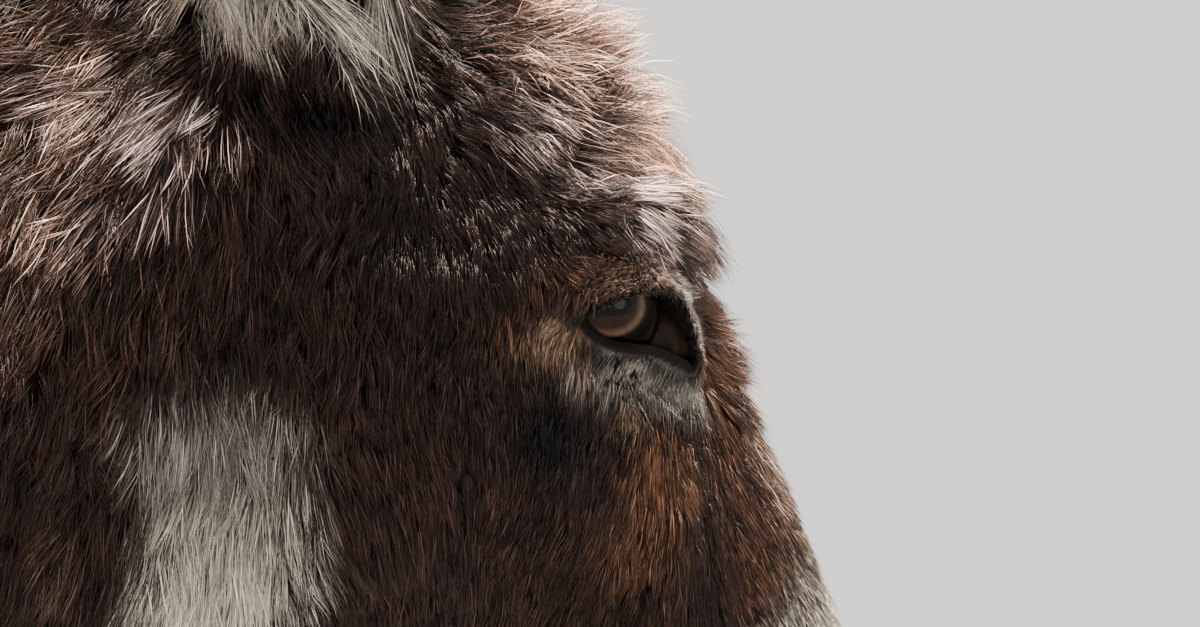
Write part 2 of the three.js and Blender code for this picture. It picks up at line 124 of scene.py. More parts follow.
# How the coat lies, learnt by combing over the animal. Each entry of the table is one handful of
# coat: where it grows, in millimetres ahead of, above and aside of the point between the eyes, which
# way it lies, and how long, how lifted, how curled and how clumped it is, and how deep it stands.
GROOM_BLEND = 0.08
GROOM = {
    # place                lie                   long lift  curl clump deep reach
    "crest": ((-211, 95, 35), (-0.9, -0.3, 0.3), 34, 0.30, 0.5, 11, 14, 36),
    "crest_near": ((-222, 92, 40), (-0.97, -0.12, 0.2), 18, 0.10, 0.2, 6, 9, 18),
    "neck_top": ((-190, 62, 56), (-0.55, -0.80, 0), 30, 0.14, 0.28, 6.5, 15, 34),
    "below_ear_back": ((-165, 66, 64), (-0.34, -0.94, 0), 32, 0.16, 0.30, 6.5, 16, 26),
    "below_ear": ((-128, 73, 70), (0.10, -1, 0), 28, 0.16, 0.30, 6, 13, 22),
    "below_ear_front": ((-108, 62, 74), (0.15, -1, 0), 20, 0.14, 0.3, 5, 9, 20),
    "neck_side": ((-207, 19, 75), (-0.46, -0.88, 0), 30, 0.14, 0.28, 6.5, 14, 36),
    "neck_fore": ((-165, 12, 79), (-0.3, -0.95, 0), 28, 0.14, 0.26, 6.5, 14, 28),
    "jaw_back": ((-135, 0, 84), (0.0, -1, 0), 22, 0.16, 0.3, 6, 11, 24),
    "cheek_top": ((-95, 45, 82), (-0.28, -0.95, 0), 15, 0.10, 0.15, 4, 7, 22),
    "cheek_mid": ((-70, 10, 91), (-0.1, -1, 0), 16, 0.10, 0.15, 4, 7, 26),
    "temple": ((-40, 40, 84), (0.12, -1, 0), 17, 0.14, 0.2, 5, 8, 20),
    "cheek_fore": ((-40, -12, 97), (-0.05, -1, 0), 14, 0.08, 0.1, 4, 6, 20),
    "brow_top": ((-27, 81, 57), (0.55, -0.75, 0), 26, 0.34, 0.55, 6, 13, 22),
    "brow": ((-12, 52, 78), (0.6, -0.75, 0), 24, 0.36, 0.55, 5.5, 12, 18),
    "brow_fore": ((12, 36, 75), (0.5, -0.8, 0.2), 20, 0.34, 0.7, 6, 9, 14),
    "brow_edge": ((-2, 31, 90), (0.35, -0.9, 0.2), 15, 0.65, 0.45, 4, 8, 9),
    "brow_edge_back": ((-24, 24, 94), (0.2, -0.95, 0.1), 13, 0.5, 0.35, 4, 7, 9),
    "brow_end": ((30, 24, 69), (0.6, -0.6, 0.1), 14, 0.30, 0.6, 5, 7, 12),
    "forehead_side": ((13, 93, 46), (0.85, -0.25, -0.1), 34, 0.42, 0.8, 12, 16, 26),
    "forehead_top": ((-20, 125, 25), (0.8, 0.0, 0.1), 36, 0.42, 0.8, 13, 17, 30),
    "forehead_fore": ((38, 64, 40), (0.52, -0.80, 0), 28, 0.24, 0.5, 11, 14, 24),
    "forehead_mid": ((54, 45, 0), (0.32, -0.90, 0), 30, 0.26, 0.55, 11, 14, 30),
    "nose_top": ((53, -7, 46), (0.5, -0.8, 0), 16, 0.42, 0.4, 6, 8, 18),
    "nose_bridge": ((75, -35, 20), (0.4, -0.9, 0), 14, 0.26, 0.3, 5, 7, 30),
    "nose_low": ((95, -100, 30), (0.4, -0.9, 0), 9, 0.2, 0.1, 4, 4, 36),
    "face_fore": ((41, -63, 70), (0.05, -1, 0), 13, 0.10, 0.1, 4, 6, 20),
    "face_mid": ((9, -66, 84), (-0.38, -0.93, 0), 14, 0.10, 0.1, 4, 6, 20),
    "face_back": ((-26, -70, 94), (-0.35, -0.95, 0), 13, 0.10, 0.1, 4, 6, 22),
    "face_dark": ((-28, -38, 100), (-0.15, -1, 0), 9, 0.05, 0.05, 3, 5, 18),
    "cheek_low": ((-88, -60, 94), (0.3, -0.95, 0), 15, 0.10, 0.1, 4, 7, 26),
    "cheek_bottom": ((-60, -115, 78), (0.1, -1, 0), 14, 0.10, 0.1, 4, 7, 34),
    "jaw_angle": ((-112, -95, 78), (0.28, -0.95, 0), 17, 0.12, 0.15, 5, 9, 24),
    "throat_top": ((-146, -30, 84), (0.0, -1, 0), 24, 0.14, 0.2, 6, 12, 24),
    "throat": ((-148, -95, 72), (-0.02, -1, 0), 28, 0.14, 0.2, 7, 13, 28),
    "throat_back": ((-178, -95, 72), (-0.32, -0.95, 0), 26, 0.16, 0.2, 7, 13, 28),
    "neck_low": ((-212, -62, 86), (-0.35, -0.93, 0), 24, 0.18, 0.3, 7, 13, 40),
    "upper_lid": ((0, 14, 96), (-0.80, -0.45, 0), 3.3, 0.05, 0.0, 2, 2, 9),
    "upper_lid_fore": ((26, 12, 78), (-0.2, -0.9, 0), 3.4, 0.05, 0.0, 2, 2, 8),
    "eye_back": ((-26, -2, 98), (-0.70, -0.65, 0), 4.8, 0.05, 0.0, 2, 3, 9),
    "lower_lid": ((8, -22, 92), (-0.30, -0.90, 0), 2.6, 0.04, 0.0, 2, 2, 10),
    "below_eye": ((12, -38, 88), (-0.35, -0.90, 0), 3.8, 0.04, 0.0, 2, 3, 11),
    "eye_corner": ((36, -30, 72), (-0.1, -1, 0), 4.2, 0.06, 0.0, 2, 2, 9),
    "poll": ((-60, 160, 15), (0.5, 0.1, 0.2), 40, 0.45, 0.7, 12, 16, 34),
    "muzzle_side": ((105, -230, 50), (0.35, -0.9, 0), 5, 0.12, 0.0, 3, 3, 50),
    "nostril": ((150, -320, 40), (0.2, -0.9, 0), 3, 0.1, 0.0, 3, 2, 30),
    "lips": ((95, -350, 25), (-0.1, -1, 0), 4, 0.12, 0.0, 3, 2, 36),
    "chin": ((40, -320, 20), (-0.5, -0.8, 0), 10, 0.2, 0.1, 5, 4, 36),
    "jaw_under": ((-40, -210, 25), (-0.8, -0.5, 0), 18, 0.18, 0.2, 7, 9, 50),
    "neck_mid": ((-330, -100, 125), (-0.55, -0.8, 0), 34, 0.2, 0.4, 14, 15, 100),
    "neck_crest": ((-330, 90, 45), (-0.85, -0.5, 0.2), 34, 0.26, 0.4, 14, 14, 80),
    "neck_throat": ((-300, -290, 40), (-0.5, -0.85, 0), 36, 0.2, 0.3, 16, 15, 100),
    "shoulder": ((-520, -240, 180), (-0.35, -0.93, 0), 34, 0.18, 0.3, 16, 14, 120),
    "withers": ((-570, -30, 40), (-0.95, -0.2, 0), 36, 0.2, 0.3, 16, 14, 100),
    "breast": ((-345, -430, 30), (0.0, -1, 0.1), 38, 0.2, 0.3, 16, 15, 100),
    "ribs": ((-920, -330, 240), (-0.75, -0.65, 0), 36, 0.18, 0.3, 18, 14, 160),
    "back": ((-920, -60, 40), (-1, -0.05, 0.1), 34, 0.18, 0.2, 16, 13, 120),
    "belly": ((-920, -620, 60), (-0.95, -0.3, 0), 42, 0.22, 0.3, 18, 16, 120),
    "flank": ((-1200, -380, 210), (-0.55, -0.83, 0), 36, 0.18, 0.3, 18, 14, 120),
    "rump": ((-1420, -130, 130), (-0.6, -0.8, 0), 34, 0.16, 0.2, 16, 13, 130),
    "buttock": ((-1540, -330, 90), (-0.1, -1, 0), 32, 0.16, 0.2, 16, 13, 100),
    "thigh": ((-1380, -480, 200), (-0.3, -0.95, 0), 30, 0.14, 0.2, 14, 12, 110),
    "elbow": ((-520, -560, 140), (-0.2, -0.98, 0), 26, 0.14, 0.2, 12, 9, 80),
    "fore_leg": ((-520, -800, 105), (0, -1, 0), 12, 0.12, 0.1, 8, 4, 130),
    "hind_leg": ((-1450, -800, 110), (0, -1, 0), 12, 0.12, 0.1, 8, 4, 150),
    "fore_pastern": ((-515, -1150, 105), (-0.1, -1, 0), 13, 0.2, 0.2, 8, 4, 60),
    "hind_pastern": ((-1470, -1150, 110), (-0.1, -1, 0), 13, 0.2, 0.2, 8, 4, 60),
    "dock": ((-1590, -300, 0), (-0.1, -1, 0), 22, 0.16, 0.2, 8, 6, 110),
    "ear_base_back": ((-155, 108, 64), (-0.6, -0.8, 0), 16, 0.22, 0.22, 5, 10, 18),
    "ear_base": ((-122, 112, 72), (-0.1, -1, 0.1), 15, 0.24, 0.20, 5, 10, 18),
    "ear_base_front": ((-86, 112, 60), (0.6, -0.75, 0.1), 16, 0.22, 0.22, 5, 10, 16),
    "ear_foot": ((-118, 150, 62), (-0.36, 0.86, 0.36), 16, 0.16, 0.2, 6, 3, 22),
    "ear_middle": ((-150, 230, 92), (-0.36, 0.86, 0.36), 9, 0.12, 0.1, 5, 2, 40),
    "ear_tip": ((-190, 330, 134), (-0.36, 0.86, 0.36), 8, 0.12, 0.1, 5, 2, 40),
}
between_eyes = np.array((right_eye[0], 0, right_eye[2]))
groom_places = np.array([handful[0] for handful in GROOM.values()], float)
groom_lies = np.array([handful[1] for handful in GROOM.values()], float)
groom_values = np.array([handful[2:7] for handful in GROOM.values()], float)
groom_reaches = np.array([handful[7] for handful in GROOM.values()], float)


def from_eyes(points):
    """Millimetres ahead of, above and aside of the point between the eyes."""
    away = (points - between_eyes) * 1000
    return np.column_stack((away[:, 0], away[:, 2], np.abs(away[:, 1])))


def groom(points):
    """The coat's lie, and its length, lift, curl, clump and depth, at each point."""
    places = from_eyes(points)
    total = np.zeros(len(points))
    lies = np.zeros((len(points), 3))
    values = np.zeros((len(points), groom_values.shape[1]))
    for place, lie, value, reach in zip(groom_places, groom_lies, groom_values, groom_reaches):
        near = 1 / (((places - place) ** 2).sum(1) / reach ** 2 + GROOM_BLEND) ** 2
        total += near
        lies += near[:, None] * lie
        values += near[:, None] * value
    lies /= total[:, None]
    side = np.where(points[:, 1] > 0, 1.0, -1.0)
    flow = np.column_stack((lies[:, 0], lies[:, 2] * side, lies[:, 1]))
    return flow, values / total[:, None]


# The skin: one unbroken hide over head, neck, trunk, legs, ears and tail, lying under the frame's
# surface by the depth of the coat. It is drawn over copies of the frame's parts, finest on the head.
CORNERS = [f"{end}_{side}" for end in ("fore", "hind") for side in ("left", "right")]
FLESH = ["head", "neck", "trunk", "tail", "ear_left", "ear_right"] + ["leg_" + corner for corner in CORNERS]
VOXEL = 0.0105
HEAD_FINENESS = 2.1
FINE_FROM = 0.31
FINE_TO = 0.58
STRETCH_HEIGHT = 1.15
PARTS_OVERLAP = 0.0015
SOCKET_ROOM = 0.0025
LENGTHWISE = (-1.5, 1.5, 3001)
EVEN_FIRST = (14, 0.5)
EVEN_LAST = (3, 0.4)
EAR_EDGE = (-0.002, 0.008)
EAR_DEPTH = 0.0026
EAR_CRISPNESS = 0.75
OUTSIDE_LIMIT = 0.02


def clean_copy(node, name):
    """A copy of a CAD node's mesh as a new object, its loose triangles merged."""
    piece = bpy.data.objects.new(name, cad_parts[node].data.copy())
    bpy.context.scene.collection.objects.link(piece)
    piece.data.materials.clear()
    shell = bmesh.new()
    shell.from_mesh(piece.data)
    bmesh.ops.remove_doubles(shell, verts=shell.verts, dist=1e-5)
    shell.to_mesh(piece.data)
    shell.free()
    return piece


def edit_whole(piece):
    """Goes to edit mode on the piece, with all of it selected."""
    bpy.context.view_layer.objects.active = piece
    bpy.ops.object.mode_set(mode="EDIT")
    bpy.ops.mesh.select_all(action="SELECT")


def get_points(piece):
    points = np.empty(len(piece.data.vertices) * 3)
    piece.data.vertices.foreach_get("co", points)
    return points.reshape(-1, 3)


def set_points(piece, points):
    piece.data.vertices.foreach_set("co", points.ravel())
    piece.data.update()


def get_normals(piece):
    normals = np.empty(len(piece.data.vertices) * 3)
    piece.data.vertices.foreach_get("normal", normals)
    return normals.reshape(-1, 3)


def smoothstep(low, high, value):
    """0 below low, 1 above high, and a soft change between; or the other way round."""
    t = np.clip((value - low) / (high - low), 0, 1)
    return t * t * (3 - 2 * t)


def relax(piece, field, rounds, share=0.5):
    """Evens out a value over the mesh, vertex by vertex with its neighbours."""
    edges = np.empty(len(piece.data.edges) * 2, np.int32)
    piece.data.edges.foreach_get("vertices", edges)
    start, end = edges.reshape(-1, 2).T
    count = len(piece.data.vertices)
    degree = np.maximum(np.bincount(start, minlength=count) + np.bincount(end, minlength=count), 1)
    field = field.reshape(count, -1).copy()
    share = np.broadcast_to(np.asarray(share, float).reshape(-1, 1), (count, 1))
    for _ in range(rounds):
        for column in range(field.shape[1]):
            value = field[:, column]
            around = np.bincount(start, value[end], count) + np.bincount(end, value[start], count)
            field[:, column] = value + share[:, 0] * (around / degree - value)
    return field


deselect()
ear_points, ear_faces, rest_points, rest_faces = [], [], [], []
for name in FLESH:
    flesh = clean_copy(name, "flesh_" + name)
    flesh.select_set(True)
    bpy.context.view_layer.objects.active = flesh
    on_ear = name.startswith("ear")
    held_points, held_faces = (ear_points, ear_faces) if on_ear else (rest_points, rest_faces)
    first = len(held_points)
    held_points.extend(tuple(vertex.co) for vertex in flesh.data.vertices)
    held_faces.extend([first + index for index in face.vertices] for face in flesh.data.polygons)
ear_surface = BVHTree.FromPolygons(ear_points, ear_faces)
rest_surface = BVHTree.FromPolygons(rest_points, rest_faces)
bpy.ops.object.join()
skin = bpy.context.object
skin.name = "skin"
edit_whole(skin)
bpy.ops.transform.shrink_fatten(value=PARTS_OVERLAP)
for side in (-1, 1):
    socket = (right_eye[0], side * abs(right_eye[1]), right_eye[2])
    bpy.ops.mesh.primitive_uv_sphere_add(segments=32, ring_count=20, radius=EYE_RADIUS + SOCKET_ROOM,
                                         location=socket)
bpy.ops.object.mode_set(mode="OBJECT")

ahead = np.linspace(*LENGTHWISE)
fineness = 1 + (HEAD_FINENESS - 1) * smoothstep(FINE_FROM, FINE_TO, ahead)
steps = (fineness[1:] + fineness[:-1]) / 2 * np.diff(ahead)
drawn_out = np.concatenate(([0], np.cumsum(steps))) + ahead[0]
points = get_points(skin)
scale = np.interp(points[:, 0], ahead, fineness)
points[:, 0] = np.interp(points[:, 0], ahead, drawn_out)
points[:, 1] *= scale
points[:, 2] = STRETCH_HEIGHT + (points[:, 2] - STRETCH_HEIGHT) * scale
set_points(skin, points)
remesh = skin.modifiers.new("hide", "REMESH")
remesh.mode = "VOXEL"
remesh.voxel_size = VOXEL
bpy.context.view_layer.objects.active = skin
bpy.ops.object.modifier_apply(modifier=remesh.name)
points = get_points(skin)
points[:, 0] = np.interp(points[:, 0], drawn_out, ahead)
scale = np.interp(points[:, 0], ahead, fineness)
points[:, 1] /= scale
points[:, 2] = STRETCH_HEIGHT + (points[:, 2] - STRETCH_HEIGHT) / scale
set_points(skin, points)


def ear_share(points):
    """1 on an ear and 0 on the rest, softly at the ear's foot; and how far outside each point is."""
    share = np.empty(len(points))
    outside = np.empty(len(points))
    for index, point in enumerate(points):
        point = Vector(point)
        on_ear, ear_normal, _, ear_gap = ear_surface.find_nearest(point)
        on_rest, rest_normal, _, rest_gap = rest_surface.find_nearest(point)
        share[index] = rest_gap - ear_gap
        if ear_gap < rest_gap:
            outside[index] = (point - on_ear).dot(ear_normal)
        else:
            outside[index] = (point - on_rest).dot(rest_normal)
    return smoothstep(*EAR_EDGE, share), outside


points = get_points(skin)
ears = ear_share(points)[0]
points = relax(skin, points, EVEN_FIRST[0], EVEN_FIRST[1] * (1 - EAR_CRISPNESS * ears))
set_points(skin, points)
normals = get_normals(skin)
ears, outside = ear_share(points)
outside = relax(skin, np.clip(outside, -OUTSIDE_LIMIT, OUTSIDE_LIMIT), 12)[:, 0]
depth = groom(points)[1][:, 4] / 1000
depth = depth * (1 - ears) + ears * EAR_DEPTH
depth = relax(skin, depth, 6)[:, 0]
points -= normals * (depth + outside)[:, None]
points = relax(skin, points, EVEN_LAST[0], EVEN_LAST[1] * (1 - EAR_CRISPNESS * ears))
set_points(skin, points)
bpy.ops.object.shade_smooth()


# The face under the coat: the bony rims and hollows round the eye, the arch of the cheekbone, the
# nostrils and the lips, each a soft push of the hide out (+) or in (-), in millimetres.
FOLDS = {
    # place            reach          push
    "brow_rim": ((0, 31, 90), (26, 7, 30), 6.5),
    "hollow_over_eye": ((-16, 54, 80), (17, 12, 30), -4.0),
    "cheekbone": ((-52, 12, 96), (34, 7, 30), 2.6),
    "under_cheekbone": ((-50, -14, 96), (34, 9, 30), -1.6),
    "nose_rim": ((34, 2, 72), (4, 24, 16), 3.0),
    "nose_rim_low": ((40, -30, 66), (5, 20, 18), 2.0),
    "before_rim": ((46, 0, 56), (5, 26, 14), -3.0),
    "face_crest": ((30, -78, 84), (7, 36, 26), 2.4),
    "below_crest": ((4, -96, 84), (14, 34, 26), -2.0),
    "brow_ledge_back": ((-38, 78, 72), (16, 10, 30), 4.0),
    "brow_ledge": ((-12, 58, 80), (16, 9, 30), 5.0),
    "brow_ledge_fore": ((14, 40, 74), (14, 8, 26), 5.0),
    "forehead_hollow": ((28, 62, 54), (12, 12, 24), -7.0),
    "collar": ((-168, 58, 66), (36, 20, 40), 8.0),
    "collar_under": ((-165, 6, 80), (36, 14, 40), -3.5),
}


def mound(places, centre, reach):
    """1 at the centre, falling softly to 0 about two reaches away."""
    return np.exp(-0.5 * (((places - centre) / reach) ** 2).sum(1))


for centre, reach, push in FOLDS.values():
    points = get_points(skin)
    near = mound(from_eyes(points), centre, reach)
    set_points(skin, points + get_normals(skin) * (near * push / 1000)[:, None])


# The lids: the hide drawn over the ball to a slit, thick at its edge and folded back inside. The slit
# is a closed curve across the eye, in millimetres towards the nose, up and out from the ball's middle.
# SLIT_ALONG runs to the inner corner, and SLIT_OUT leaves the head.
SLIT = [(-18, -8.8, 11.5), (-13.5, -1.5, 18.6), (-3, 4.5, 22.6), (11, 10.0, 20.4), (24, 6.4, 17.9),
        (35, -2.4, 14.2), (40, -8.8, 11.4), (30, -9.1, 13.8), (15, -9.8, 16.4), (2, -12.9, 18.8),
        (-9, -13.9, 16.2)]
SLIT_OUT = np.array((0.381, 0.925, 0.0))
SLIT_ALONG = np.array((0.883, -0.363, -0.298))
SLIT_UP = np.array((0.2757, -0.1133, 0.9546))
SLIT_POINTS = 240
SLIT_MIDDLE = 0.011
FINE_REACHES = (0.054, 0.040)
EVEN_ROUND = (0.062, 0.05)
LID_ZONE = 0.058
LID_BACK = -6
LID_REACH = 13.0
LID_THICKNESS = 1.8
LID_EDGE_CATCH = 0.75
LID_EDGE_RISE = 1.6
LID_EDGE_ROUND = 1.2
LID_FALL = 60
POCKET = 8.0
POCKET_LIP = 1.6
BALL_CLEARANCE = 2.0


def closed_curve(knots, count):
    """A smooth closed curve through the knots, as count evenly numbered points."""
    knots = np.asarray(knots, float)
    turn = np.linspace(0, len(knots), count, endpoint=False)
    first = turn.astype(int)
    t = (turn - first)[:, None]
    a, b, c, d = (knots[(first + step) % len(knots)] for step in (-1, 0, 1, 2))
    square, cube = 2 * a - 5 * b + 4 * c - d, 3 * b - a - 3 * c + d
    return 0.5 * (2 * b + (c - a) * t + square * t ** 2 + cube * t ** 3)


def eye_axes(side):
    """Rows along, up and out of the slit, and the ball's middle, for the right (-1) or left (+1) eye."""
    turn = np.array((1, side, 1))
    return np.array((SLIT_ALONG, SLIT_UP, SLIT_OUT)) * turn, right_eye * np.array((1, -side, 1))


def from_slit(points, side):
    """How far each point is from the middle of one eye's slit, in metres."""
    axes, middle = eye_axes(side)
    return np.linalg.norm(points - middle - SLIT_MIDDLE * axes[0], axis=1)


def slit_distance(flat, slit):
    """How far each flat point is outside the slit (inside is below 0), and the nearest slit point."""
    gaps = ((flat[:, None, :] - slit[None, :, :2]) ** 2).sum(2)
    nearest = gaps.argmin(1)
    ahead_of = np.roll(slit, -1, 0)
    crosses = (slit[:, 1] > flat[:, 1:2]) != (ahead_of[:, 1] > flat[:, 1:2])
    rise, run = ahead_of[:, 1] - slit[:, 1] + 1e-12, ahead_of[:, 0] - slit[:, 0]
    reach = slit[:, 0] + (flat[:, 1:2] - slit[:, 1]) / rise * run
    inside = (crosses & (flat[:, 0:1] < reach)).sum(1) % 2 == 1
    return np.sqrt(gaps.min(1)) * np.where(inside, -1, 1), nearest


def refine(chosen):
    """Cuts the chosen faces of the hide, given as a mask over them all, into four each."""
    edit_whole(skin)
    bpy.ops.mesh.select_mode(type="FACE")
    bpy.ops.mesh.select_all(action="DESELECT")
    bpy.ops.object.mode_set(mode="OBJECT")
    skin.data.polygons.foreach_set("select", chosen)
    bpy.ops.object.mode_set(mode="EDIT")
    bpy.ops.mesh.subdivide(number_cuts=1)
    bpy.ops.object.mode_set(mode="OBJECT")


def face_centres():
    centres = np.empty(len(skin.data.polygons) * 3)
    skin.data.polygons.foreach_get("center", centres)
    return centres.reshape(-1, 3)


slit_line = closed_curve(SLIT, SLIT_POINTS)
for reach in FINE_REACHES:
    centres = face_centres()
    refine((from_slit(centres, -1) < reach) | (from_slit(centres, 1) < reach))
points = get_points(skin)
to_an_eye = np.minimum(from_slit(points, -1), from_slit(points, 1))
points = relax(skin, points, 6, 0.5 * smoothstep(*EVEN_ROUND, to_an_eye))
for side in (-1, 1):
    axes, middle = eye_axes(side)
    near = from_slit(points, side) < LID_ZONE
    local = (points[near] - middle) @ axes.T * 1000
    edge_gap, nearest = slit_distance(local[:, :2], slit_line)
    lip = slit_line[nearest]
    front = local[:, 2] > LID_BACK
    on_edge = front & (np.abs(edge_gap) < LID_EDGE_CATCH)
    local[on_edge, :2] = lip[on_edge, :2]
    edge_gap[on_edge] = 0
    beyond = np.maximum(edge_gap, 0)
    lid = lip[:, 2] + LID_EDGE_RISE * (1 - np.exp(-beyond / LID_EDGE_ROUND)) - beyond ** 2 / LID_FALL
    share = 1 - smoothstep(0, LID_REACH, edge_gap)
    height = local[:, 2] * (1 - share) + lid * share
    out_from_axis = (local[:, :2] ** 2).sum(1)
    ball = np.sqrt(np.maximum((EYE_RADIUS * 1000) ** 2 - out_from_axis, 0))
    pocket = lip[:, 2] - POCKET * smoothstep(0, POCKET_LIP, -edge_gap)
    pocket = np.minimum(pocket, np.where(ball > 0, ball - BALL_CLEARANCE, 99))
    over_ball = np.sqrt(np.maximum((EYE_RADIUS * 1000 + LID_THICKNESS) ** 2 - out_from_axis, 0))
    raised = (over_ball > 0) & (edge_gap < 2 * LID_REACH)
    lifted = np.where(raised, np.maximum(height, over_ball), height)
    height = np.where(edge_gap < 0, pocket, lifted)
    local[:, 2] = np.where(front, height, local[:, 2])
    points[near] = middle + local @ axes / 1000
set_points(skin, points)

# The muzzle: two comma-shaped nostrils with a raised rim, and the mouth's line with full lips and a
# chin behind it. Places run down the face from between the eyes, and forward out of it.
DOWN_FACE = np.array((0.429, -0.903))
OUT_OF_FACE = np.array((0.903, 0.429))
NOSTRIL = np.array((302, 27, 37))
NOSTRIL_LONG = np.array((-0.80, 0.45, 0.40))
NOSTRIL_HALF = (21.0, 8.5)
NOSTRIL_DEPTH = 13.0
MOUTH_FROM = np.array((286, -29))
MOUTH_TO = np.array((372, -12))
MOUTH_DEPTH = 3.6
MOUTH_HALF = 1.6
MOUTH_CORNER = (-8, 8)
LIP_FULLNESS = 2.6
LIP_FULLEST = (8, 5.0)
NOSTRIL_RIM = 3.4
NOSTRIL_EDGE = (1.15, 0.45)
NOSTRIL_RIM_AT = (1.45, 0.40)
MUZZLE_DOWN = (258, 268)
MUZZLE_AHEAD = (-70, -50)
CHIN = ((335, -52, 0), (16, 12, 22), 3.0)
NOSE_GROOVE = ((318, 46, 0), (22, 14, 7), -2.0)


def face_place(points):
    """Millimetres down the face, out of it, and aside."""
    place = from_eyes(points)
    return np.column_stack((place[:, :2] @ DOWN_FACE, place[:, :2] @ OUT_OF_FACE, place[:, 2]))


def nostril_share(points):
    """Distance from the nostril's middle, 1 at its rim."""
    away = face_place(points) - NOSTRIL
    long = NOSTRIL_LONG / np.linalg.norm(NOSTRIL_LONG)
    along = away @ long
    across = np.linalg.norm(away - along[:, None] * long, axis=1)
    return np.sqrt((along / NOSTRIL_HALF[0]) ** 2 + (across / (NOSTRIL_HALF[1] + 2.0)) ** 2)


def mouth_gap(points):
    """Distance across the mouth's line, and 1 where the mouth is, 0 short of its corner."""
    place = face_place(points)[:, :2]
    line = (MOUTH_TO - MOUTH_FROM) / np.linalg.norm(MOUTH_TO - MOUTH_FROM)
    across = (place - MOUTH_FROM) @ np.array((-line[1], line[0]))
    return across, smoothstep(*MOUTH_CORNER, (place - MOUTH_FROM) @ line)


def muzzle_share(points):
    """1 on the muzzle, 0 on the rest of the animal."""
    down = smoothstep(*MUZZLE_DOWN, face_place(points)[:, 0])
    return down * smoothstep(*MUZZLE_AHEAD, from_eyes(points)[:, 0])


def bell(value, reach):
    return np.exp(-((value / reach) ** 2))


refine(muzzle_share(face_centres()) > 0.3)
centres = face_centres()
gap, open_here = mouth_gap(centres)
refine((nostril_share(centres) < 2.2) | ((np.abs(gap) < 9) & (open_here > 0.02)))
points = get_points(skin)
muzzle = muzzle_share(points)
points = relax(skin, points, 4, 0.5 * muzzle)
set_points(skin, points)
rim = nostril_share(points)
gap, open_here = mouth_gap(points)
push = -NOSTRIL_DEPTH * smoothstep(*NOSTRIL_EDGE, rim)
push = push + NOSTRIL_RIM * bell(rim - NOSTRIL_RIM_AT[0], NOSTRIL_RIM_AT[1])
push -= MOUTH_DEPTH * open_here * bell(gap, MOUTH_HALF)
push += LIP_FULLNESS * open_here * bell(np.abs(gap) - LIP_FULLEST[0], LIP_FULLEST[1])
for centre, reach, rise in (CHIN, NOSE_GROOVE):
    push += rise * mound(face_place(points), centre, reach)
set_points(skin, points + get_normals(skin) * (push / 1000)[:, None])
set_points(skin, relax(skin, get_points(skin), 2, 0.3 * muzzle))
edit_whole(skin)
bpy.ops.mesh.quads_convert_to_tris()
bpy.ops.object.mode_set(mode="OBJECT")
bpy.ops.object.shade_smooth()


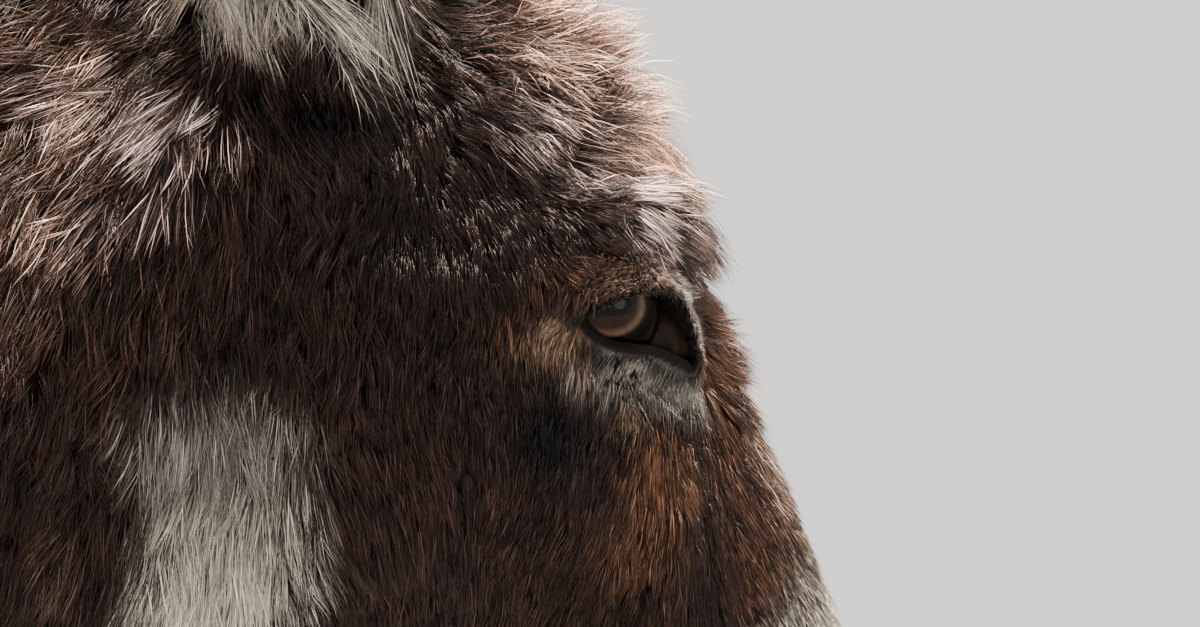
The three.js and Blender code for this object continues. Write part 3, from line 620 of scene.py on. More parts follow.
# What colours the hide and the coat alike: a very dark brown animal, warmer on neck and body, with a
# rusty ring and a tan one round the eye, ash below it, and pale muzzle, throat, belly and inner legs.
# Each mark is a set of soft patches: place and reach in millimetres from between the eyes, and strength.
MARKS = {
    "pale": [((-144, -126, 74), (31, 80, 60), 1.0), ((-148, -70, 82), (22, 30, 40), 0.75),
             ((-60, -260, 0), (60, 60, 45), 0.8), ((-126, 126, 66), (40, 19, 34), 0.82)],
    "rust": [((23, -58, 80), (16, 20, 30), 0.85), ((15, -82, 84), (18, 18, 30), 0.45),
             ((20, -110, 84), (24, 20, 30), 0.12),
             ((54, -28, 50), (12, 40, 24), 0.45), ((-16, 17, 94), (20, 6, 24), 0.6),
             ((-40, -2, 98), (10, 8, 20), 0.45), ((70, -80, 60), (16, 40, 40), 0.3)],
    "tan": [((-26, -8, 96), (12, 8, 20), 0.95), ((-13, -19, 94), (9, 8, 20), 0.9),
            ((8, -38, 90), (7, 8, 20), 0.35), ((41, -4, 68), (3.0, 26, 16), 0.5),
            ((86, -90, 14), (14, 50, 20), 0.65), ((66, -44, 16), (12, 22, 20), 0.4),
            ((-205, -88, 86), (12, 16, 30), 0.25)],
    "ash": [((-150, -41, 84), (32, 20, 30), 0.92), ((-12, -22, 94), (10, 8, 20), 0.4)],
    "warm": [((-200, 95, 40), (54, 44, 60), 1.0), ((30, 95, 30), (60, 60, 60), 1.0),
             ((54, 20, 20), (30, 70, 40), 0.9), ((-190, 30, 70), (44, 44, 50), 0.6),
             ((-60, -110, 90), (60, 60, 60), 0.3)],
    # faded hair tips, and painted highlight where the sun falls on forehead, brow, neck, the ear's foot and
    # the nose's edge
    "faded": [((24, 100, 20), (64, 62, 66), 1.0), ((-28, 72, 66), (18, 13, 24), 0.4),
              ((-126, 126, 66), (40, 18, 34), 0.75),
              ((-4, 52, 78), (18, 10, 20), 0.4), ((22, 36, 70), (15, 10, 20), 0.4),
              ((-176, 106, 50), (20, 9, 40), 1.0), ((-176, 76, 60), (32, 22, 40), 0.45),
              ((-196, 44, 72), (24, 26, 40), 0.22), ((76, -60, 10), (16, 60, 26), 0.5)],
    # painted highlight: the sun's silvery sheen on the hair of brow, forehead and the neck below the ear
    "painted_highlight": [((-28, 72, 66), (18, 12, 24), 0.75), ((-6, 52, 78), (18, 10, 20), 0.9),
               ((16, 36, 72), (17, 11, 20), 1.0), ((14, 88, 34), (18, 16, 30), 0.5),
               ((-160, 78, 66), (16, 23, 40), 1.0), ((-192, 86, 50), (14, 8, 30), 0.8),
               ((-176, 52, 72), (12, 13, 40), 0.55), ((-143, 84, 68), (11, 10, 30), 0.7)],
    # black hair on the cheek, and painted shadow in the forehead's hollow, under the ear's fan and beneath
    # the brow
    "black": [((-27, -41, 100), (20, 15, 30), 0.95), ((27, 60, 56), (10, 9, 24), 0.7),
              ((-82, 42, 84), (26, 22, 30), 0.45), ((-104, 78, 72), (28, 9, 30), 0.75),
              ((-24, 24, 92), (24, 5, 20), 0.6), ((-50, 30, 88), (18, 14, 30), 0.25)],
    "bare": [],
}
MARK_NAMES = list(MARKS)
EAR_ROOT = np.array((-99, 117, 44))
EAR_TIP = np.array((-196, 347, 140))
EAR_MOUTH = np.array((0.397, -0.208, 0.894))
EAR_HOLLOW = 14
EYE_REACH = 0.07
MUZZLE_SLANT = 0.55
MUZZLE_SLANT_FROM = 20
CROSS_AHEAD = -545.0
CROSS_SLANT = 0.12
LID_TILT = 0.1
EDGES = {
    # the soft edges of the larger marks: no mark at the first number, and all of it at the second
    "patch": (1.45, 0.45),
    "muzzle_down": (105, 171), "snout_down": (215, 290), "face_ahead": (-170, -110),
    "belly_top": (-500, -605), "belly_foot": (-690, -660),
    "belly_fore": (-575, -650), "belly_hind": (-1270, -1130),
    "leg_inwards": (0.2, -0.5), "leg_top": (-560, -640), "leg_foot": (-1100, -900),
    "body_ahead": (-230, -420), "stripe_aside": (24, 10), "stripe_foot": (-420, -300),
    "cross_ahead": (34, 16), "cross_foot": (-330, -250),
    "by_nostril": (3.4, 1.3), "in_nostril": (1.25, 0.85), "by_mouth": (20, 5), "in_mouth": (3.4, 1.0),
    "lid_band": (16, 10), "lid_top": (-9, -3), "lid_corner": (42, 34), "lid_fore": (4, 30),
    "ash_band": (22, 8), "ash_corner": (-17, -3), "lower_lid": (-3, -9), "lid_line": (6.5, 3.0),
    "clear_of_lids": (11, 16),
    "ear_root": (100, 130), "ear_foot": (118, 150), "ear_grey": (140, 210), "ear_rim": (140, 190),
    "ear_tip": (285, 345), "ear_facing": (0.0, 0.5),
}
STRENGTHS = {
    # how strong each larger mark is
    "muzzle": 0.85, "belly": 0.8, "inner_leg": 0.72, "warm_body": 0.85, "faded_body": 0.09,
    "snout": 0.42, "ash_nostril": 0.5, "ash_mouth": 0.45, "ash_most": 0.95, "black_nostril": 0.62,
    "black_mouth": 0.35, "bare_mouth": 0.7,
    "lid_tan": 0.15, "lid_rust": 0.13, "lid_ash": 0.7, "lid_line": 0.95,
    "ear_wool": 0.8, "ear_back": 0.55, "ear_grey": 0.6, "ear_tip": 0.75, "ear_rim": 0.8,
}
BARE_EDGE = (1.2, 2.2)
BARE_SOFTNESS = (0.8, -0.4)


def eye_place(points):
    """Millimetres along, above and outside the slit of the nearer eye; 99 away from both."""
    along, above, gap = (np.full(len(points), 99.0) for _ in range(3))
    for side in (-1, 1):
        axes, middle = eye_axes(side)
        near = np.flatnonzero(np.linalg.norm(points - middle, axis=1) < EYE_REACH)
        local = (points[near] - middle) @ axes.T * 1000
        along[near], above[near] = local[:, 0], local[:, 1]
        gap[near] = slit_distance(local[:, :2], slit_line)[0]
    return along, above, gap


def edge(name, value):
    return smoothstep(*EDGES[name], value)


def unit(vectors):
    return vectors / np.maximum(np.linalg.norm(vectors, axis=1), 1e-12)[:, None]


def inside_ear(points, normals, ears):
    """1 on the hollow face of an ear, where the hide faces its middle line."""
    place = from_eyes(points)
    axis = EAR_TIP - EAR_ROOT
    share = np.clip((place - EAR_ROOT) @ axis / (axis @ axis), 0, 1)
    middle = EAR_ROOT + share[:, None] * axis + EAR_MOUTH * (EAR_HOLLOW * np.sin(math.pi * share))[:, None]
    side = np.where(points[:, 1] > 0, 1.0, -1.0)
    facing = np.column_stack((normals[:, 0], normals[:, 2], normals[:, 1] * side))
    return edge("ear_facing", (unit(middle - place) * facing).sum(1)) * ears


def marks(points, normals, ears):
    """The strength of each mark, 0 to 1, at each point, one column per mark."""
    place = from_eyes(points)
    strong = STRENGTHS
    found = {}
    for name, patches in MARKS.items():
        found[name] = np.zeros(len(points))
        for centre, reach, strength in patches:
            away = np.sqrt((((place - centre) / reach) ** 2).sum(1))
            found[name] = np.maximum(found[name], strength * edge("patch", away))

    def lay(name, *strengths):
        found[name] = np.maximum.reduce((found[name], *strengths))  # the strongest at each point

    # muzzle, belly and legs
    down = place[:, :2] @ DOWN_FACE - MUZZLE_SLANT * np.maximum(place[:, 2] - MUZZLE_SLANT_FROM, 0)
    muzzle = edge("muzzle_down", down) * edge("face_ahead", place[:, 0])
    belly = edge("belly_top", place[:, 1]) * edge("belly_fore", place[:, 0])
    belly *= edge("belly_hind", place[:, 0]) * edge("belly_foot", place[:, 1])
    side = np.where(points[:, 1] > 0, 1.0, -1.0)
    inner = edge("leg_inwards", normals[:, 1] * side) * edge("leg_top", place[:, 1])
    inner *= edge("leg_foot", place[:, 1])
    lay("pale", strong["muzzle"] * muzzle, strong["belly"] * belly,
        strong["inner_leg"] * inner * (1 - belly))

    # the body, but for the dark stripe down the back and the cross over the shoulders
    body = edge("body_ahead", place[:, 0])
    stripe = edge("stripe_aside", place[:, 2]) * edge("stripe_foot", place[:, 1])
    from_cross = np.abs(place[:, 0] - CROSS_AHEAD + CROSS_SLANT * place[:, 1])
    cross = edge("cross_ahead", from_cross) * edge("cross_foot", place[:, 1])
    for name in ("warm", "faded"):
        lay(name, strong[name + "_body"] * body * (1 - np.maximum(stripe, cross)))

    # nostrils and lips
    snout = edge("snout_down", place[:, :2] @ DOWN_FACE) * edge("face_ahead", place[:, 0])
    mouth, open_here = mouth_gap(points)
    by_nostril = edge("by_nostril", nostril_share(points))
    by_mouth = open_here * edge("by_mouth", np.abs(mouth))
    ashen = strong["snout"] + strong["ash_nostril"] * by_nostril + strong["ash_mouth"] * by_mouth
    lay("ash", snout * np.clip(ashen, 0, strong["ash_most"]))
    dark = strong["black_nostril"] * by_nostril ** 2, strong["black_mouth"] * by_mouth ** 2
    lay("black", snout * np.maximum(*dark))

    # round the eyes: a faint tan band on the upper lid, ash below the lower one, and bare dark edges
    along, above, gap = eye_place(points)
    above_line = above + LID_TILT * along
    lid = edge("lid_band", gap) * edge("lid_top", above_line)
    lid *= edge("lid_corner", along)
    front = edge("lid_fore", along)
    lower = edge("lower_lid", above_line)
    below = edge("ash_band", gap) * lower
    below *= edge("ash_corner", along)
    found["tan"] = np.maximum(found["tan"] * (1 - below), strong["lid_tan"] * lid * (1 - 0.4 * front))
    found["rust"] = np.maximum(found["rust"] * (1 - below), strong["lid_rust"] * lid * (1 - front))
    lay("ash", below, strong["lid_ash"] * lid * front)
    lay("black", strong["lid_line"] * lower * edge("lid_line", gap))
    width = BARE_EDGE[0] + BARE_EDGE[1] * lower
    lay("bare", smoothstep(width + BARE_SOFTNESS[0], width + BARE_SOFTNESS[1], gap),
        edge("in_nostril", nostril_share(points)),
        strong["bare_mouth"] * open_here * edge("in_mouth", np.abs(mouth)))
    # faded tips and painted highlight keep off the lids
    for name in ("faded", "painted_highlight"):
        found[name] *= edge("clear_of_lids", gap)

    # the ears: pale and woolly inside, warm behind, black at the rim and the tip
    hollow = inside_ear(points, normals, ears)
    outer = ears * (1 - hollow) * edge("ear_foot", place[:, 1])
    for name in ("rust", "tan", "ash", "warm", "faded", "painted_highlight", "black"):
        found[name] *= 1 - ears * edge("ear_root", place[:, 1])
    found["pale"] = np.maximum(found["pale"] * (1 - outer), strong["ear_wool"] * hollow)
    lay("warm", strong["ear_back"] * outer)
    lay("ash", strong["ear_grey"] * hollow * edge("ear_grey", place[:, 1]))
    rim = 4 * hollow * (1 - hollow) * edge("ear_rim", place[:, 1])
    lay("black", strong["ear_tip"] * ears * edge("ear_tip", place[:, 1]), strong["ear_rim"] * rim * ears)
    return np.column_stack([found[name] for name in MARK_NAMES])


def give_values(piece, name, values):
    """Stores one value a vertex on the piece, for its material to read."""
    stored = piece.data.attributes.new(name, "FLOAT", "POINT")
    stored.data.foreach_set("value", np.ascontiguousarray(values, np.float32))


COAT_COLOURS = {
    "Dark": (0.0265, 0.0128, 0.0098),
    "Pale": (0.80, 0.71, 0.59),
    "Rust": (0.158, 0.072, 0.036),
    "Tan": (0.265, 0.168, 0.105),
    "Ash": (0.305, 0.268, 0.226),
    "Warm": (0.056, 0.0275, 0.0185),
    # faded hair tips, and painted highlight
    "Faded": (0.72, 0.48, 0.36),
    # the painted highlight's silvery colour
    "Painted_highlight": (0.74, 0.57, 0.53),
    # black hair and skin, and painted shadow
    "Black": (0.0045, 0.0032, 0.0030),
    "Bare": (0.007, 0.005, 0.0043),
}
BLEACHES_AND_HIGHLIGHTS = (
    # mark (faded tips with painted highlight, then painted highlight alone), how it gathers at the tip,
    # its gain with the hair's tone, and the least of it
    ("Faded", 1.1, 1.3, 0.10),
    ("Painted_highlight", 0.8, 1.7, 0.0),
)
LIGHTNESS = {"Ash": 0.75, "Tan": 0.6}
CONTRAST = (-2.55, 3.65)
LEAST_TONE = (0.62, 0.03)
# painted shade: each hair darkens from its tip towards its root, where the coat shades itself, and the hide
# under the coat is coloured as a point near the roots
ROOT_SHADE = (1.05, 0.32)
HIDE_ALONG = 0.3
HIDE_TONE = (1.1, -0.2)


def add_node(tree, kind, **settings):
    node = tree.nodes.new(kind)
    for name, value in settings.items():
        setattr(node, name, value)
    return node


def feed(tree, socket, value):
    """Links a socket to another one, or sets it to a plain value."""
    if isinstance(value, bpy.types.NodeSocket):
        tree.links.new(value, socket)
    else:
        socket.default_value = value


def mix_colours(tree, share, first, second, blend="MIX"):
    node = add_node(tree, "ShaderNodeMix", data_type="RGBA", blend_type=blend)
    for index, value in ((0, share), (6, first), (7, second)):
        feed(tree, node.inputs[index], value)
    return node.outputs[2]


def maths(tree, operation, *values):
    node = add_node(tree, "ShaderNodeMath", operation=operation)
    for socket, value in zip(node.inputs, values):
        feed(tree, socket, value)
    return node.outputs[0]


def coat_colouring():
    """The shared colouring of hide and coat, from the marks, a hair's own tone, and painted shade from tip
    to root.
    """
    group = bpy.data.node_groups.new("coat_colouring", "ShaderNodeTree")
    for name in MARK_NAMES + ["tone", "along"]:
        group.interface.new_socket(name.capitalize(), in_out="INPUT", socket_type="NodeSocketFloat")
    group.interface.new_socket("Colour", in_out="OUTPUT", socket_type="NodeSocketColor")
    given = group.nodes.new("NodeGroupInput")
    made = group.nodes.new("NodeGroupOutput")
    mark = given.outputs
    colour = (*COAT_COLOURS["Dark"], 1)
    for name in ("Warm", "Rust", "Tan", "Pale", "Ash", "Black"):
        colour = mix_colours(group, mark[name], colour, (*COAT_COLOURS[name], 1))
    for name, bend, gain, least in BLEACHES_AND_HIGHLIGHTS:
        by_tone = maths(group, "MULTIPLY_ADD", mark["Tone"], gain, least)
        bleach_and_highlight = maths(group, "MULTIPLY", mark[name], maths(group, "POWER", mark["Along"], bend))
        bleach_and_highlight = maths(group, "MULTIPLY", bleach_and_highlight, by_tone)
        colour = mix_colours(group, bleach_and_highlight, colour, (*COAT_COLOURS[name], 1))
    light = mark["Pale"]
    for name, share in LIGHTNESS.items():
        light = maths(group, "MAXIMUM", light, maths(group, "MULTIPLY", mark[name], share))
    contrast = maths(group, "MULTIPLY_ADD", light, *CONTRAST)
    least = maths(group, "MULTIPLY_ADD", light, *LEAST_TONE)
    tone = maths(group, "MULTIPLY_ADD", mark["Tone"], contrast, least)
    # painted shade, darker towards the root
    tip = maths(group, "MULTIPLY_ADD", mark["Along"], *ROOT_SHADE)
    shade = maths(group, "MULTIPLY", tone, tip)
    spread = add_node(group, "ShaderNodeCombineColor")
    for channel in spread.inputs:
        group.links.new(shade, channel)
    colour = mix_colours(group, 1.0, colour, spread.outputs[0], "MULTIPLY")
    colour = mix_colours(group, mark["Bare"], colour, (*COAT_COLOURS["Bare"], 1))
    group.links.new(colour, made.inputs["Colour"])
    return group


colouring = coat_colouring()


def new_material(name, roughness, sheen):
    """A new material's name, roughness and glint; returns it, its nodes and its shader's sockets."""
    material = bpy.data.materials.new(name)
    material.use_nodes = True
    sockets = material.node_tree.nodes["Principled BSDF"].inputs
    sockets["Roughness"].default_value = roughness
    sockets["Specular IOR Level"].default_value = sheen
    return material, material.node_tree, sockets


def coloured_material(name, roughness, sheen):
    """A material that reads the marks, the tone and the place from root to tip off its piece."""
    material, tree, sockets = new_material(name, roughness, sheen)
    group = add_node(tree, "ShaderNodeGroup", node_tree=colouring)
    for mark in MARK_NAMES + ["tone", "along"]:
        value = add_node(tree, "ShaderNodeAttribute", attribute_name=mark)
        tree.links.new(value.outputs["Fac"], group.inputs[mark.capitalize()])
    tree.links.new(group.outputs["Colour"], sockets["Base Color"])
    return material


def noise(tree, place, scale, detail, stretch=None):
    """Noise over the given place, which is drawn out by stretch where that is given."""
    if stretch:
        mapping = add_node(tree, "ShaderNodeMapping")
        mapping.inputs["Scale"].default_value = stretch
        tree.links.new(place, mapping.inputs["Vector"])
        place = mapping.outputs[0]
    grain = add_node(tree, "ShaderNodeTexNoise")
    grain.inputs["Scale"].default_value = scale
    grain.inputs["Detail"].default_value = detail
    tree.links.new(place, grain.inputs["Vector"])
    return grain.outputs["Fac"]


def add_bump(tree, sockets, height, strength, distance):
    bump = add_node(tree, "ShaderNodeBump")
    bump.inputs["Strength"].default_value = strength
    bump.inputs["Distance"].default_value = distance
    tree.links.new(height, bump.inputs["Height"])
    tree.links.new(bump.outputs["Normal"], sockets["Normal"])


def hide_material():
    """The hide under the coat: the marks' colours, streaked and bumped as short flat hair is."""
    material = coloured_material("hide", roughness=0.7, sheen=0.06)
    tree = material.node_tree
    place = add_node(tree, "ShaderNodeTexCoord").outputs["Object"]
    streaks = noise(tree, place, scale=620, detail=3, stretch=(1.0, 1.0, 0.14))
    add_bump(tree, tree.nodes["Principled BSDF"].inputs, streaks, strength=0.6, distance=0.0012)
    group = next(node for node in tree.nodes if node.type == "GROUP")
    tree.links.new(maths(tree, "MULTIPLY_ADD", streaks, *HIDE_TONE), group.inputs["Tone"])
    return material


points = get_points(skin)
normals = get_normals(skin)
ears = ear_share(points)[0]
skin_marks = marks(points, normals, ears)
for name, values in zip(MARK_NAMES, skin_marks.T):
    give_values(skin, name, values)
# the hide takes the painted shade of a point near the hairs' roots
give_values(skin, "along", np.full(len(points), HIDE_ALONG))
skin.data.materials.append(hide_material())
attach(skin, "root")
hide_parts(*FLESH)


# The eyes: wet balls that the lids cover, each turned a little back, with a brown iris round a wide
# dark pupil, a darker rim, and a low bulge over the iris.
GAZE_BACK = math.radians(14)
GAZE_UP = math.radians(5)
BULGE = 0.0010
BULGE_EDGE = (0.72, 0.45)
IRIS_HALF = (14.0, 11.8)
IRIS_COLOURS = ((0.007, 0.0034, 0.0018, 1), (0.030, 0.016, 0.009, 1))
RAYS = (14.0, 2.5)
RING_EDGE = (0.76, 0.92)
RING_COLOURS = ((0.040, 0.020, 0.011, 1), (0.125, 0.068, 0.042, 1))
PUPIL_HALF = (9.0, 4.6)
PUPIL_SQUARENESS = 2.6
PUPIL_EDGE = (1.45, 0.60)
PUPIL_COLOUR = (0.0040, 0.0036, 0.0032, 1)
RIM_EDGE = (0.95, 1.08)
RIM_COLOUR = (0.004, 0.0026, 0.002, 1)
WET_EDGE = (1.25, 0.90)
WET_LEAST = 0.12


def on_side(name, side):
    return name + ("_right" if side < 0 else "_left")


def eye_ball(side):
    name = on_side("eye", side)
    level_gaze = -math.sin(GAZE_BACK) * math.cos(GAZE_UP), side * math.cos(GAZE_BACK) * math.cos(GAZE_UP)
    gaze = np.array((*level_gaze, math.sin(GAZE_UP)))
    deselect()
    bpy.ops.mesh.primitive_uv_sphere_add(segments=72, ring_count=48, radius=EYE_RADIUS)
    ball = bpy.context.object
    ball.name = name + "_ball"
    turn = Vector(gaze).to_track_quat("Z", "Y").to_matrix()
    local = get_points(ball)
    tilt = np.arccos(np.clip(local[:, 2] / EYE_RADIUS, -1, 1))
    local *= (1 + BULGE / EYE_RADIUS * smoothstep(*BULGE_EDGE, tilt))[:, None]
    points = local @ np.array(turn).T
    level = np.cross((0, 0, 1), gaze) * -side
    level /= np.linalg.norm(level)
    rise = np.cross(gaze, level) * -side
    place = np.column_stack((points @ level, points @ rise, points @ gaze)) * 1000
    set_points(ball, points + eye_axes(side)[1])
    stored = ball.data.attributes.new("gaze_place", "FLOAT_VECTOR", "POINT")
    stored.data.foreach_set("vector", place.astype(np.float32).ravel())
    bpy.ops.object.shade_smooth()
    ball.data.materials.append(eye_material)
    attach(ball, "root")
    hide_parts(name)


def soft_step(tree, value, start, end, least=0.0):
    """From least at start to 1 at end, softly."""
    step = add_node(tree, "ShaderNodeMapRange", interpolation_type="SMOOTHSTEP")
    for index, given in enumerate((value, start, end, least)):
        feed(tree, step.inputs[index], given)
    return step.outputs[0]


def make_eye_material():
    """The ball's colours by its place from the middle of the gaze, in millimetres, and its wet coat."""
    material, tree, sockets = new_material("wet_eye", roughness=0.5, sheen=0.0)
    sockets["Coat Roughness"].default_value = 0.02
    sockets["Coat IOR"].default_value = 1.20
    place = add_node(tree, "ShaderNodeAttribute", attribute_name="gaze_place")
    parts = add_node(tree, "ShaderNodeSeparateXYZ")
    tree.links.new(place.outputs["Vector"], parts.inputs[0])
    wide, high = (maths(tree, "DIVIDE", parts.outputs[index], IRIS_HALF[index]) for index in (0, 1))
    squares = [maths(tree, "POWER", value, 2.0) for value in (wide, high)]
    out = maths(tree, "SQRT", maths(tree, "ADD", *squares))
    rays = add_node(tree, "ShaderNodeTexNoise", noise_dimensions="2D")
    rays.inputs["Scale"].default_value = 1.0
    rays.inputs["Detail"].default_value = 4
    ray_place = add_node(tree, "ShaderNodeCombineXYZ")
    for index, value in enumerate((maths(tree, "ARCTAN2", high, wide), out)):
        tree.links.new(maths(tree, "MULTIPLY", value, RAYS[index]), ray_place.inputs[index])
    tree.links.new(ray_place.outputs[0], rays.inputs["Vector"])
    iris = mix_colours(tree, rays.outputs["Fac"], *IRIS_COLOURS)
    ring = add_node(tree, "ShaderNodeValToRGB")
    for stop, position, level in zip(ring.color_ramp.elements, RING_EDGE, (0, 1)):
        stop.position = position
        stop.color = (level, level, level, 1)
    tree.links.new(out, ring.inputs["Fac"])
    ring_colour = mix_colours(tree, rays.outputs["Fac"], *RING_COLOURS)
    iris = mix_colours(tree, ring.outputs["Color"], iris, ring_colour)
    reaches = []
    for index, half in enumerate(PUPIL_HALF):
        reach = maths(tree, "ABSOLUTE", maths(tree, "DIVIDE", parts.outputs[index], half))
        reaches.append(maths(tree, "POWER", reach, PUPIL_SQUARENESS))
    pupil = soft_step(tree, maths(tree, "ADD", *reaches), *PUPIL_EDGE)
    colour = mix_colours(tree, pupil, iris, PUPIL_COLOUR)
    colour = mix_colours(tree, soft_step(tree, out, *RIM_EDGE), colour, RIM_COLOUR)
    tree.links.new(colour, sockets["Base Color"])
    tree.links.new(soft_step(tree, out, *WET_EDGE, WET_LEAST), sockets["Coat Weight"])
    return material


eye_material = make_eye_material()
for side in (-1, 1):
    eye_ball(side)


# The lids' bare edge: a dark moist band that follows the slit, thin above and broad below, and in
# the inner corner the dark fold of the third lid over the ball.
MOTTLE = (0.6, 1.5)
RIM_SIDES = 10
RIM_STEPS = 120
RIM_LOWER = 0.58
RIM_LOWER_ENDS = (0.15, 0.75)
RIM_HALF_WIDTH = (0.9, 1.5)
RIM_HALF_RISE = (0.8, 0.3)
RIM_OUT = 0.75
FOLD_HALF = (17, 10, 8)
FOLD_MIDDLE = np.array((23.5, -2.5, 6.0))
FOLD_RIDGES = 0.7
FOLD_RIPPLES = (9, 2.2)
FOLD_FRONT = (-0.2, 0.6)
FOLD_SLOPE = 0.10
FOLD_SLOPE_FROM = 23
FOLD_SINK = 1.5


def moist_skin(name, colour, roughness):
    """Bare skin: its colour, finely mottled and bumped."""
    material, tree, sockets = new_material(name, roughness, sheen=0.05)
    grain = noise(tree, add_node(tree, "ShaderNodeTexCoord").outputs["Object"], scale=900, detail=3)
    dark, light = ((*(share * np.array(colour)), 1) for share in MOTTLE)
    tree.links.new(mix_colours(tree, grain, dark, light), sockets["Base Color"])
    add_bump(tree, sockets, grain, strength=0.5, distance=0.0003)
    return material


lid_material = moist_skin("lid_edge", (0.0030, 0.0017, 0.0011), roughness=0.5)
corner_material = moist_skin("third_lid", (0.0150, 0.0085, 0.0058), roughness=0.4)


def mesh_piece(name, points, faces, material):
    """A new piece from its points and faces, smooth, riding on the body."""
    mesh = bpy.data.meshes.new(name)
    mesh.from_pydata(points, [], faces)
    mesh.polygons.foreach_set("use_smooth", np.ones(len(mesh.polygons), bool))
    mesh.materials.append(material)
    piece = bpy.data.objects.new(name, mesh)
    bpy.context.scene.collection.objects.link(piece)
    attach(piece, "root")
    return piece


def face_outwards(piece):
    shell = bmesh.new()
    shell.from_mesh(piece.data)
    bmesh.ops.recalc_face_normals(shell, faces=shell.faces)
    shell.to_mesh(piece.data)
    shell.free()


def lid_rim(side):
    """A band round the slit, ring by ring, broader along the lower lid."""
    axes, middle = eye_axes(side)
    line = closed_curve(SLIT, RIM_STEPS)
    ahead_of = unit(np.roll(line, -1, 0) - np.roll(line, 1, 0))
    outward = unit(line)
    away = unit(np.cross(ahead_of, outward))
    away *= np.sign((away[:, :2] * (line[:, :2] - line[:, :2].mean(0))).sum(1).sum())
    turn = 2 * math.pi * (np.arange(RIM_STEPS) / RIM_STEPS - RIM_LOWER)
    lower = smoothstep(*RIM_LOWER_ENDS, np.sin(turn))
    width = RIM_HALF_WIDTH[0] + RIM_HALF_WIDTH[1] * lower
    rise = RIM_HALF_RISE[0] + RIM_HALF_RISE[1] * lower
    points = []
    for step in range(RIM_SIDES):
        turn = 2 * math.pi * step / RIM_SIDES
        points.append(line + away * (width * (math.cos(turn) + RIM_OUT))[:, None]
                      + outward * (rise * math.sin(turn) + RIM_OUT)[:, None])
    ring = np.stack(points, 1).reshape(-1, 3)
    faces = []
    for step in range(RIM_STEPS):
        here, after = step * RIM_SIDES, (step + 1) % RIM_STEPS * RIM_SIDES
        for corner in range(RIM_SIDES):
            beside = (corner + 1) % RIM_SIDES
            faces.append((here + corner, here + beside, after + beside, after + corner))
    points = middle + ring @ axes / 1000
    face_outwards(mesh_piece(on_side("lid_edge", side), points, faces, lid_material))


def third_lid(side):
    """A low ridged mound in the inner corner, sunk in the lids round it."""
    axes, middle = eye_axes(side)
    deselect()
    bpy.ops.mesh.primitive_uv_sphere_add(segments=40, ring_count=28, radius=1)
    fold = bpy.context.object
    fold.name = on_side("third_lid", side)
    ball = get_points(fold)
    ripple = np.sin(ball[:, 0] * FOLD_RIPPLES[0] + FOLD_RIPPLES[1] * ball[:, 1])
    ridges = FOLD_RIDGES * ripple * smoothstep(*FOLD_FRONT, ball[:, 2])
    local = ball * FOLD_HALF + FOLD_MIDDLE
    local[:, 2] += ridges + FOLD_SLOPE * (local[:, 0] - FOLD_SLOPE_FROM) - FOLD_SINK
    set_points(fold, middle + local @ axes / 1000)
    bpy.ops.object.shade_smooth()
    face_outwards(fold)
    fold.data.materials.append(corner_material)
    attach(fold, "root")


for side in (-1, 1):
    lid_rim(side)
    third_lid(side)


# The coat: closed hairs of mesh, planted over the whole hide and combed by the table above. Each
# hair belongs to a tuft and each tuft to a lock, whose tips draw together. The hairs are finest
# where the animal is seen from near, and grow into broader tufts over the body.
TRIANGLES_A_PIECE = 190000
FINE_WIDTH = 0.00042
HEAD_WIDTH = 0.0017
BODY_WIDTH = 0.0029
HEAD_AHEAD = (-470, -240)
VIEW_AHEAD = (-275, -245)
VIEW_TOP = (176, 150)
VIEW_FOOT = (-150, -128)
VIEW_SIDE = (0.010, -0.010)
CAP_FROM = 8.0
CAP_LEAST = 4
CAP_RISE = 1.05
EAR_WOOL = 1.4
EAR_WOOL_BAND = (240, 130)
BY_EYE = (28, 14)
COVER_BODY = 1.6
COVER_VIEW = 2.1
COVER_HEAD = 0.2
COVER_LEGS = -0.6
LEGS_BAND = (-560, -680)
LIDS_FINER = (0.45, -0.20)
LIDS_BARER = 0.2
OVERHANG_FROM = -4
OVERHANG_REACH = 60
HAIR_FILL = 0.5
NORMAL, LIE, COMBING = slice(0, 3), slice(3, 6), slice(6, 11)
LENGTH, WIDTH, COVER = 6, -2, -1


def view_share(points):
    """1 on the near side of the head, where the coat is finest, falling to 0 round it."""
    place = from_eyes(points)
    inside = smoothstep(*VIEW_AHEAD, place[:, 0]) * smoothstep(*VIEW_TOP, place[:, 1])
    return inside * (smoothstep(*VIEW_FOOT, place[:, 1]) * smoothstep(*VIEW_SIDE, points[:, 1]))


def head_share(points):
    return smoothstep(*HEAD_AHEAD, from_eyes(points)[:, 0])


def hair_width(points):
    head = head_share(points)
    view = view_share(points)
    return BODY_WIDTH * (1 - head) + head * (HEAD_WIDTH * (1 - view) + FINE_WIDTH * view)


